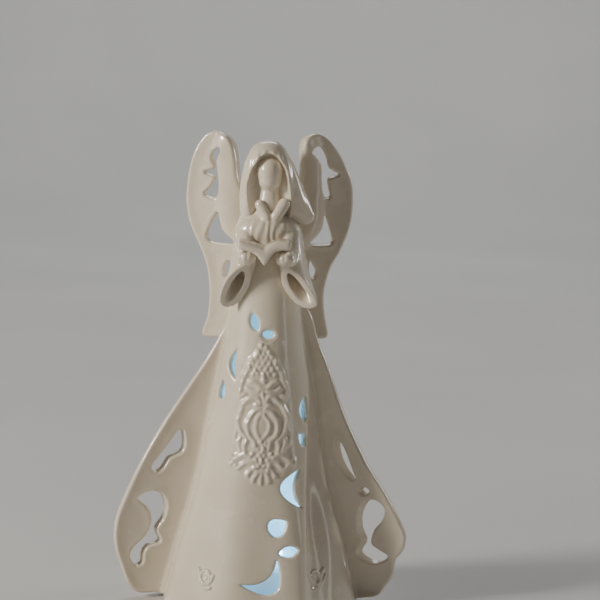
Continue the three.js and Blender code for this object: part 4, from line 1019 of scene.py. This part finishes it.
def sleeve_ring(side, t, shrink, push=0):
    """Ring of the sleeve at t from the shoulder to the mouth, which swings out further on the right."""
    swing, inner, flare = (0.38, 1.6, 0.4) if side < 0 else (0.5, 0, 1)
    path = [
        (8 - inner, -1, 203), (11.6 - inner, -1.5, 196), (12.8 - inner, -6.5, 187.5),
        (13.6 - inner, -12.5, 178.6), (16 - 0.4 * inner, -17.5, 169),
    ]
    bell = t * t * (3 - 2 * t)
    girth = arm_girth * (1.14 - 0.2 * t)
    longer = bell_long * bell + girth * (1 - bell) - shrink
    wider = bell_wide * bell + girth * (1 - bell) - shrink
    hang = unit(np.array([swing, 0.3, -0.86]))
    mouth_across = unit(np.array([0.9, -0.4, 0.3]))
    down = unit((1 - bell) * unit(np.array([0, 1, -0.45])) + bell * hang)
    across = unit((1 - bell) * unit(np.array([1, 0, 0.2])) + bell * mouth_across)
    turn = full_turn(40)
    pinch = 1 - bell_pinch * bell * np.clip(-np.cos(turn), 0, 1) ** 2
    outward = np.cross(hang, mouth_across)
    outward = outward if outward[1] < 0 else -outward
    centre = along_path(path, np.array(t)) + push * outward
    ring = centre + np.cos(turn)[:, None] * longer * down + (np.sin(turn) * pinch)[:, None] * wider * across
    corner = flare * bell_corner * bell * np.clip(np.cos(turn - 0.6), 0, 1) ** 5
    ring += corner[:, None] * np.array([1, 0, -0.35])
    return ring * (side, 1, 1)


def rolled(path, first, last, count=9):
    """Chain of short bars that follows a smooth path."""
    stations = [along_path(path, np.array(t)) for t in np.linspace(0, 1, count)]
    girths = np.linspace(first, last, count)
    return [limb(a, b, r, s) for a, b, r, s in zip(stations[:-1], stations[1:], girths[:-1], girths[1:])]


bodice_lumps = [
    limb((0.5, -3.2, 198), (0.5, -3, 184), 9.2, 9),
    ball((0.4, -2.4, 196.5), (17.5, 10.4, 11)),
    limb((0.4, -1, 202), (0.4, -1.6, 210), 8, 5.4),
]
bell_hollows = []
for side in (-1, 1):
    bodice_lumps += [
        limb((side * 4, -0.5, 202), (side * 11, -1, 197), 5.6, 6.2),
        limb((side * 11, -1, 197), (side * 11.8, -5.5, 188), 6.4, 5.8),
        limb((side * 11.8, -7, 187), (side * 10.6, -18.6, 184.6), 5.6, 5),
        ball((side * 11.5, 6.4, 194.5), (5.2, 7, 13), 8),
        swept([sleeve_ring(side, t, 0) for t in np.linspace(0.2, 1, 22)], False),
    ]
    hollow = [sleeve_ring(side, t, sleeve_wall) for t in np.linspace(0.6, 1, 12)]
    hollow += [sleeve_ring(side, 1, sleeve_wall - 0.4, 1.5), sleeve_ring(side, 1, sleeve_wall - 1.2, 3.5)]
    bell_hollows.append(swept(hollow, False))
bodice_lumps += rolled([(-0.2, -9.2, 204.8), (-2.1, -8.6, 207.6), (-4.2, -7.2, 211)], 2.6, 2.8)
bodice_lumps += rolled([(4.2, -9.4, 205), (6.4, -8.8, 208.2), (8.6, -7.6, 211.8)], 2.8, 3.3)
gather_depth = 0.2
gather_foot = (182, 188)
gather_head = (200, 205)


def gathers(points, normals):
    """Soft uneven ridges down the front of the chest, between the collar and the book."""
    x, z = points[:, 0], points[:, 2]
    band = eased(z, *gather_foot) * (1 - eased(z, *gather_head))
    window = np.exp(-(((x - 1) / 10) ** 4)) * band * (normals[:, 1] < 0)
    ridges = np.cos(1.7 * x + 1.5 * np.sin(0.3 * z) + 1.1 * np.sin(0.6 * x + 0.25 * z))
    return points + normals * (gather_depth * window * ridges)[:, None]


modelled("bodice_modelled", bodice_lumps, voxel=0.45, smoothing=13,
         nodes=["collar", "left_sleeve", "right_sleeve"], cut=joined_lumps(bell_hollows), shaped=gathers)


# Head: a smooth egg without features on a short neck, bowed a little towards the book. It is modelled over
# the gown's neck and covered by the hair.
face_height = 227.2
head_lumps = [
    ball((0.5, -2.6, face_height + 0.8), (7.3, 8.3, 8.7), -10),
    ball((0.6, -3, face_height - 2.8), (6.5, 7.2, 7), -10),
    limb((0.6, -1.4, 205), (0.6, -1.2, face_height - 6), 7.6, 4.8),
]
modelled("head_modelled", head_lumps, voxel=0.4, smoothing=10, nodes=["head"])


# Hair: a parted hood modelled over the head. It frames the face with a thick rounded edge, falls straight on
# the left shoulder and flips outwards on the right one.
hair_rises = np.array([200.5, 202.5, 205, 208.5, 213, 219, 227, 235, 238, 240.5, 242.5, 243.7, 244.3])
hair_rights = np.array([20.4, 23.2, 24.2, 23, 21.2, 18.6, 15, 11.4, 9.8, 8, 5.8, 3.4, 0.6])
hair_lefts = np.array([11, 13, 14, 14.6, 14.8, 14.8, 13.8, 11.8, 10.4, 8.8, 6.4, 3.8, 1])
hair_depths = np.array([6, 7.2, 8, 8.8, 9.6, 10.4, 11.2, 10.4, 9.2, 7.6, 5.4, 3.2, 0.8])
hair_hang = 213
hair_centre_y = -1
lock_count = 17
lock_depth = 0.2
parting_depth = 0.9
parting_top = 241
crown_low = 236
crown_top = 243


def hair_ring(height):
    turn = full_turn(64)
    spreads = (hair_rights, hair_lefts, hair_depths)
    right, left, deep = (flowing(hair_rises, spread, np.array(height)) for spread in spreads)
    across = np.where(np.sin(turn) > 0, right, left) * np.sin(turn)
    lift = (0.45 + 0.3 * np.cos(turn)) * max(hair_hang - height, 0) * (1 - np.abs(np.sin(turn))) ** 0.6
    return np.stack([across, hair_centre_y - deep * np.cos(turn), height + lift], 1)


def strands(points, normals):
    """Shallow locks that run down from the parting, and the parting itself."""
    x, y, z = points.T
    y = y - hair_centre_y
    comb = np.cos(lock_count * np.arctan2(x, y) + 0.09 * (z - 225) * np.sign(x))
    locks = lock_depth * comb * (1 - eased(z, crown_low, crown_top))
    outer = eased(np.hypot(x / 14, y / 10), 0.8, 0.95)
    parting = parting_depth * fading(x, 1.1) * eased(z, crown_low, parting_top) * (y < 5)
    return points + normals * ((locks - parting) * outer)[:, None]


hair_opening = [
    (-1.2, 237.2), (-4.4, 235), (-8, 229.7), (-9.9, 225), (-11.1, 220.2), (-10.4, 211.7), (-9.6, 202),
    (-9, 194), (12.5, 194), (12.4, 203), (11.6, 211), (10.6, 219.1), (9.4, 226.8), (7.4, 231.8), (4.8, 235.2),
    (1.8, 236.9),
]
hair_arch = looped(hair_opening, step=1.0, passes=6)
arch_centre = np.array([0.4, 226])
arch_steps = ((1.14, -17), (1.03, -10), (1.0, -7.6), (0.87, -5.2), (0.66, -4), (0.4, -3.6))


def arch_ring(size, depth):
    x, z = (arch_centre + (hair_arch - arch_centre) * size).T
    return np.stack([x, np.full(len(x), depth), z], 1)


hair_tunnel = swept([arch_ring(size, depth) for size, depth in arch_steps], False)
hair_hood = swept([hair_ring(z) for z in np.linspace(hair_rises[0], hair_rises[-1], 44)], False)
modelled("hair_modelled", [hair_hood], voxel=0.45, smoothing=14, nodes=["hair"], cut=hair_tunnel,
         shaped=strands)


# Battery light: a puck moulded in white plastic that pushes into the socket from below, where a silicone
# gasket grips it. It holds three foil-jacketed cells, nickel-plated contacts, a switch, a board and three
# leads. The pieces keep the solids' shapes, with the small edge radii that moulding leaves.
sharp_angle = 0.6
flat_angle = 0.02
weld = 0.002


def moulded(node, finish, rounding):
    """Copy of a solid with its loose triangles merged and its edges rounded."""
    source = frame["nodes"][node]
    mesh = bpy.data.meshes.new(node + "_moulded")
    shell = bmesh.new()
    shell.from_mesh(source.data)
    bmesh.ops.remove_doubles(shell, verts=shell.verts, dist=weld * mm)
    bmesh.ops.dissolve_limit(shell, angle_limit=flat_angle, verts=shell.verts, edges=shell.edges)
    shell.to_mesh(mesh)
    shell.free()
    mesh.shade_smooth()
    mesh.set_sharp_from_angle(angle=sharp_angle)
    mesh.materials.append(finish)
    made = placed(node + "_moulded", mesh)
    if rounding:
        edge = made.modifiers.new("edge_radius", "BEVEL")
        edge.width = rounding * mm
        edge.segments = 2
        edge.limit_method = "ANGLE"
        edge.angle_limit = sharp_angle
        edge.harden_normals = True
    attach(made, source["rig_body"])
    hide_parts(node)
    return made


def plastic_finish(name, pale, dark, roughness):
    plastic = Finish(name)
    drift = plastic.cloud(90, 2)
    grain = plastic.cloud(2600, 1)
    tint = plastic.ramp(drift, (0.35, dark), (0.65, pale))
    return plastic.surface(Base_Color=tint, Roughness=roughness + 0.12 * grain,
                           Normal=plastic.bumps(grain, 0.12, 0.00006))


def metal_finish(name, pale, dark, roughness):
    metal = Finish(name)
    drift = metal.cloud(240, 3)
    tint = metal.ramp(drift, (0.3, dark), (0.7, pale))
    return metal.surface(Base_Color=tint, Metallic=1.0, Roughness=roughness + 0.15 * drift,
                         Normal=metal.bumps(metal.cloud(1800, 2), 0.08, 0.00005))


white_plastic = plastic_finish("white_moulded_plastic", (0.8, 0.79, 0.76), (0.74, 0.73, 0.69), 0.38)
black_plastic = plastic_finish("black_moulded_plastic", (0.02, 0.02, 0.021), (0.012, 0.012, 0.013), 0.36)
silicone = plastic_finish("soft_silicone", (0.64, 0.63, 0.59), (0.58, 0.57, 0.53), 0.6)
board_mask = plastic_finish("green_board", (0.03, 0.15, 0.06), (0.02, 0.11, 0.045), 0.4)
nickel = metal_finish("nickel_plate", (0.56, 0.55, 0.51), (0.42, 0.41, 0.37), 0.2)
jacket = metal_finish("foil_jacket", (0.04, 0.15, 0.42), (0.02, 0.09, 0.3), 0.3)
for node, finish, slot, rounding in (
    ("light_base", white_plastic, "white_plastic", 0.25),
    ("battery_door", white_plastic, "white_plastic", 0.2),
    ("switch_body", black_plastic, "black_plastic", 0.2),
    ("switch_knob", black_plastic, "black_plastic", 0.25),
    ("socket_gasket", silicone, "silicone", 0.3),
    ("led_board", board_mask, "circuit_board", 0.1),
    ("positive_terminal", nickel, "nickel", 0.08),
    ("negative_terminal", nickel, "nickel", 0.08),
    ("left_link_plate", nickel, "nickel", 0.08),
    ("right_link_plate", nickel, "nickel", 0.08),
    ("battery_1", jacket, "cell_jacket", 0.4),
    ("battery_2", jacket, "cell_jacket", 0.4),
    ("battery_3", jacket, "cell_jacket", 0.4),
):
    moulded(node, finish, rounding)
for node, slot, colour in (
    ("red_lead", "red_wire", (0.39, 0.023, 0.016)),
    ("black_lead", "black_wire", (0.01, 0.01, 0.01)),
    ("white_lead", "white_wire", (0.71, 0.7, 0.64)),
):
    sleeving = plastic_finish(node + "_sleeving", colour, tuple(0.8 * c for c in colour), 0.45)
    moulded(node, sleeving, 0)


# Lit cover, lens and diode: a translucent white cover and a frosted dome over one cool white diode. They are
# lit, so that the openings of the gown glow.
def glow_finish(name, colour, strength):
    glow = Finish(name)
    frost = glow.cloud(1500, 2)
    tint = glow.ramp(frost, (0.3, colour), (0.7, tuple(min(1, 1.06 * c) for c in colour)))
    return glow.surface(Base_Color=(0.75, 0.85, 0.92, 1), Roughness=0.5 + 0.2 * frost, Emission_Color=tint,
                        Emission_Strength=strength)


for node, finish, slot, rounding in (
    ("light_cover", glow_finish("lit_cover_plastic", (0.3, 0.62, 0.9), 0.4), "white_plastic", 0.3),
    ("light_lens", glow_finish("lit_frosted_lens", (0.26, 0.62, 0.92), 13), "frosted_plastic", 0.3),
    ("led", glow_finish("lit_diode", (0.6, 0.85, 1.0), 6), "led_epoxy", 0.2),
):
    moulded(node, finish, rounding)


# Contact springs and housing screws: conical springs of nickel-plated wire that press on the cells, and small
# cross-head screws that hold the cover on the base. Both repeat, so each comes from one tree of nodes.
def repeat_tree(name, sizes):
    """Tree that grows a shape on points, with a named input for each size, and its inputs' sockets."""
    tree = bpy.data.node_groups.new(name, "GeometryNodeTree")
    tree.interface.new_socket("Geometry", in_out="INPUT", socket_type="NodeSocketGeometry")
    for label in sizes:
        tree.interface.new_socket(label, in_out="INPUT", socket_type="NodeSocketFloat")
    tree.interface.new_socket("Geometry", in_out="OUTPUT", socket_type="NodeSocketGeometry")
    return tree, tree.nodes.new("NodeGroupInput").outputs


def tree_node(tree, kind, sockets, output, **settings):
    """Adds a node and gives back one of its outputs. A list of links goes into one socket."""
    made = tree.nodes.new(kind)
    for key, value in settings.items():
        setattr(made, key, value)
    for key, value in sockets.items():
        links = value if isinstance(value, list) else [value]
        for link in links:
            if isinstance(link, bpy.types.NodeSocket):
                tree.links.new(link, made.inputs[key])
            else:
                made.inputs[key].default_value = link
    return made.outputs[output]


def plated_tree(tree, points, shape, rotation=(0, 0, 0)):
    """Sets a shape on the points, makes the copies real and plates them."""
    sockets = {"Points": points, "Instance": shape, "Rotation": rotation}
    seat = tree_node(tree, "GeometryNodeInstanceOnPoints", sockets, "Instances")
    real = tree_node(tree, "GeometryNodeRealizeInstances", {"Geometry": seat}, "Geometry")
    plated = tree_node(tree, "GeometryNodeSetMaterial", {"Geometry": real, "Material": nickel}, "Geometry")
    tree.links.new(plated, tree.nodes.new("NodeGroupOutput").inputs["Geometry"])
    return tree


def repeated_piece(name, spots, tree, sizes, nodes):
    """Mesh that a tree grows on a few points, made plain before it rides on the light."""
    seed = bpy.data.meshes.new(name + "_spots")
    seed.from_pydata(spots, [], [])
    draft = placed(name + "_draft", seed)
    growth = draft.modifiers.new("growth", "NODES")
    growth.node_group = tree
    for item in tree.interface.items_tree:
        if item.in_out == "INPUT" and item.name in sizes:
            growth[item.identifier] = sizes[item.name]
    graph = bpy.context.evaluated_depsgraph_get()
    mesh = bpy.data.meshes.new_from_object(draft.evaluated_get(graph))
    bpy.data.objects.remove(draft)
    mesh.name = name
    made = placed(name, mesh)
    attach(made, "light_module")
    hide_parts(*nodes)


def spring_tree():
    sizes = ("Turns", "Foot Radius", "Tip Radius", "Length", "Wire Radius", "Facing")
    tree, given = repeat_tree("contact_spring", sizes)
    coil = tree_node(tree, "GeometryNodeCurveSpiral", {
        "Resolution": 28, "Rotations": given["Turns"], "Start Radius": given["Foot Radius"],
        "End Radius": given["Tip Radius"], "Height": given["Length"]}, "Curve")
    section = {"Resolution": 10, "Radius": given["Wire Radius"]}
    wire = tree_node(tree, "GeometryNodeCurvePrimitiveCircle", section, "Curve")
    path = {"Curve": coil, "Profile Curve": wire, "Fill Caps": True}
    wound = tree_node(tree, "GeometryNodeCurveToMesh", path, "Mesh")
    smooth = tree_node(tree, "GeometryNodeSetShadeSmooth", {"Geometry": wound}, "Geometry")
    turn = tree_node(tree, "ShaderNodeCombineXYZ", {"Y": given["Facing"]}, "Vector")
    return plated_tree(tree, given["Geometry"], smooth, turn)


springs = spring_tree()
spring_wire = 0.0003
spring_taper = 0.0009
for k in (1, 2, 3):
    low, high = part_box(f"contact_spring_{k}")
    centre = (low + high) / 2
    outward = 1 if centre.x > 0 else -1
    foot = (high.x if outward > 0 else low.x) - outward * spring_wire
    radius = (high.z - low.z) / 2 - spring_wire
    spring_sizes = {
        "Turns": 3.5, "Foot Radius": radius, "Tip Radius": radius - spring_taper, "Wire Radius": spring_wire,
        "Length": high.x - low.x - 2 * spring_wire, "Facing": -outward * math.pi / 2,
    }
    repeated_piece(f"contact_spring_{k}_wound", [(foot, centre.y, centre.z)], springs, spring_sizes,
                   [f"contact_spring_{k}"])

slot_long = 0.0034
slot_wide = 0.0007
slot_deep = 0.0014


def screw_tree():
    sizes = ("Head Radius", "Head Height", "Shank Radius", "Shank Length")
    tree, given = repeat_tree("housing_screw", sizes)

    def rod(vertices, segments, radius, length):
        sockets = {"Vertices": vertices, "Side Segments": segments, "Radius Bottom": given[radius],
                   "Radius Top": given[radius], "Depth": given[length]}
        return tree_node(tree, "GeometryNodeMeshCone", sockets, "Mesh")

    slots = []
    for size in ((slot_long, slot_wide, slot_deep), (slot_wide, slot_long, slot_deep)):
        slots.append(tree_node(tree, "GeometryNodeMeshCube", {"Size": size}, "Mesh"))
    blank = rod(32, 3, "Head Radius", "Head Height")
    head = tree_node(tree, "GeometryNodeMeshBoolean", {"Mesh 1": blank, "Mesh 2": slots}, "Mesh",
                     operation="DIFFERENCE")
    lift = tree_node(tree, "ShaderNodeCombineXYZ", {"Z": given["Head Height"]}, "Vector")
    sockets = {"Geometry": rod(24, 14, "Shank Radius", "Shank Length"), "Translation": lift}
    shank = tree_node(tree, "GeometryNodeTransform", sockets, "Geometry")
    whole = tree_node(tree, "GeometryNodeJoinGeometry", {"Geometry": [shank, head]}, "Geometry")
    return plated_tree(tree, given["Geometry"], whole)


screw_head = 0.0015
screw_names = [f"housing_screw_{k}" for k in (1, 2, 3, 4)]
screw_boxes = [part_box(name) for name in screw_names]
screw_spots = [((low.x + high.x) / 2, (low.y + high.y) / 2, low.z) for low, high in screw_boxes]
screw_extent = screw_boxes[0][1] - screw_boxes[0][0]
screw_sizes = {
    "Head Radius": screw_extent.x / 2, "Head Height": screw_head, "Shank Radius": 0.0013,
    "Shank Length": screw_extent.z - screw_head,
}
repeated_piece("housing_screws", screw_spots, screw_tree(), screw_sizes, screw_names)


# Studio: a pale painted floor that curves up into the wall without an edge in view. A soft warm key stands at
# the left front, with a weak strip of fill at the right front and a rim light at the right back. A wide lamp
# over the wall keeps the ground behind the figure pale.
cove_turns = full_turn(96)
cove_start = 2.2
cove_bend = 1
cove_profile = [(0.02, 0), (0.6, 0), (1.4, 0)]
for turn in np.linspace(0, math.pi / 2, 13):
    cove_profile.append((cove_start + cove_bend * math.sin(turn), cove_bend * (1 - math.cos(turn))))
cove_profile += [(cove_start + cove_bend, 1.8), (cove_start + cove_bend, 2.8)]
cove_points, cove_faces = swept([level_ring(cove_turns, *station) for station in cove_profile], False)
floor_mesh = bpy.data.meshes.new("studio_floor")
floor_mesh.from_pydata([tuple(p) for p in cove_points], [], cove_faces[:-1])
floor_mesh.shade_smooth()
floor_paint = Finish("studio_floor_paint")
floor_tint = floor_paint.ramp(floor_paint.cloud(3, 2), (0.3, (0.55, 0.55, 0.55)), (0.7, (0.59, 0.59, 0.585)))
floor_mesh.materials.append(floor_paint.surface(Base_Color=floor_tint, Roughness=0.7))
floor = placed("studio_floor", floor_mesh)


def soft_light(name, place, aim, wide, tall, watts, colour):
    lamp = bpy.data.lights.new(name, "AREA")
    lamp.shape = "ELLIPSE"
    lamp.size = wide
    lamp.size_y = tall
    lamp.energy = watts
    lamp.color = colour
    holder = placed(name, lamp)
    holder.location = place
    holder.rotation_euler = (Vector(aim) - Vector(place)).to_track_quat("-Z", "Y").to_euler()


figure_middle = (0, 0, 0.13)
right_side = (0.03, 0, 0.13)
wall_foot = (0, 2.4, 0.1)
warm_white = (1, 0.935, 0.845)
soft_white = (1, 0.97, 0.93)
soft_light("key_light", (-1.3, -0.52, 0.66), figure_middle, wide=0.36, tall=0.36, watts=23, colour=warm_white)
soft_light("fill_strip", (0.9, -0.5, 0.32), figure_middle, wide=0.1, tall=0.8, watts=0.35, colour=soft_white)
soft_light("rim_light", (1.1, 0.42, 0.5), right_side, wide=0.3, tall=0.3, watts=3, colour=soft_white)
soft_light("wall_light", (0, 1.7, 2.3), wall_foot, wide=2.0, tall=2.0, watts=34, colour=(1, 1, 1))
sky = bpy.data.worlds.new("studio_air")
sky.use_nodes = True
air = sky.node_tree.nodes["Background"].inputs
air["Color"].default_value = (0.62, 0.63, 0.64, 1)
air["Strength"].default_value = 0.03
bpy.context.scene.world = sky

lens = bpy.data.cameras.new("photo_camera")
lens.sensor_width = 36
lens.lens = 108.8
camera = placed("photo_camera", lens)
camera_aim = Vector((0.0178, 0, 0.161))
camera_distance = 0.95
camera_tilt = math.radians(7)
camera_roll = math.radians(1.5)
camera.location = camera_aim + camera_distance * Vector((0, -math.cos(camera_tilt), math.sin(camera_tilt)))
camera.rotation_euler = (math.pi / 2 - camera_tilt, 0, 0)
camera.rotation_euler.rotate_axis("Z", camera_roll)
bpy.context.scene.camera = camera
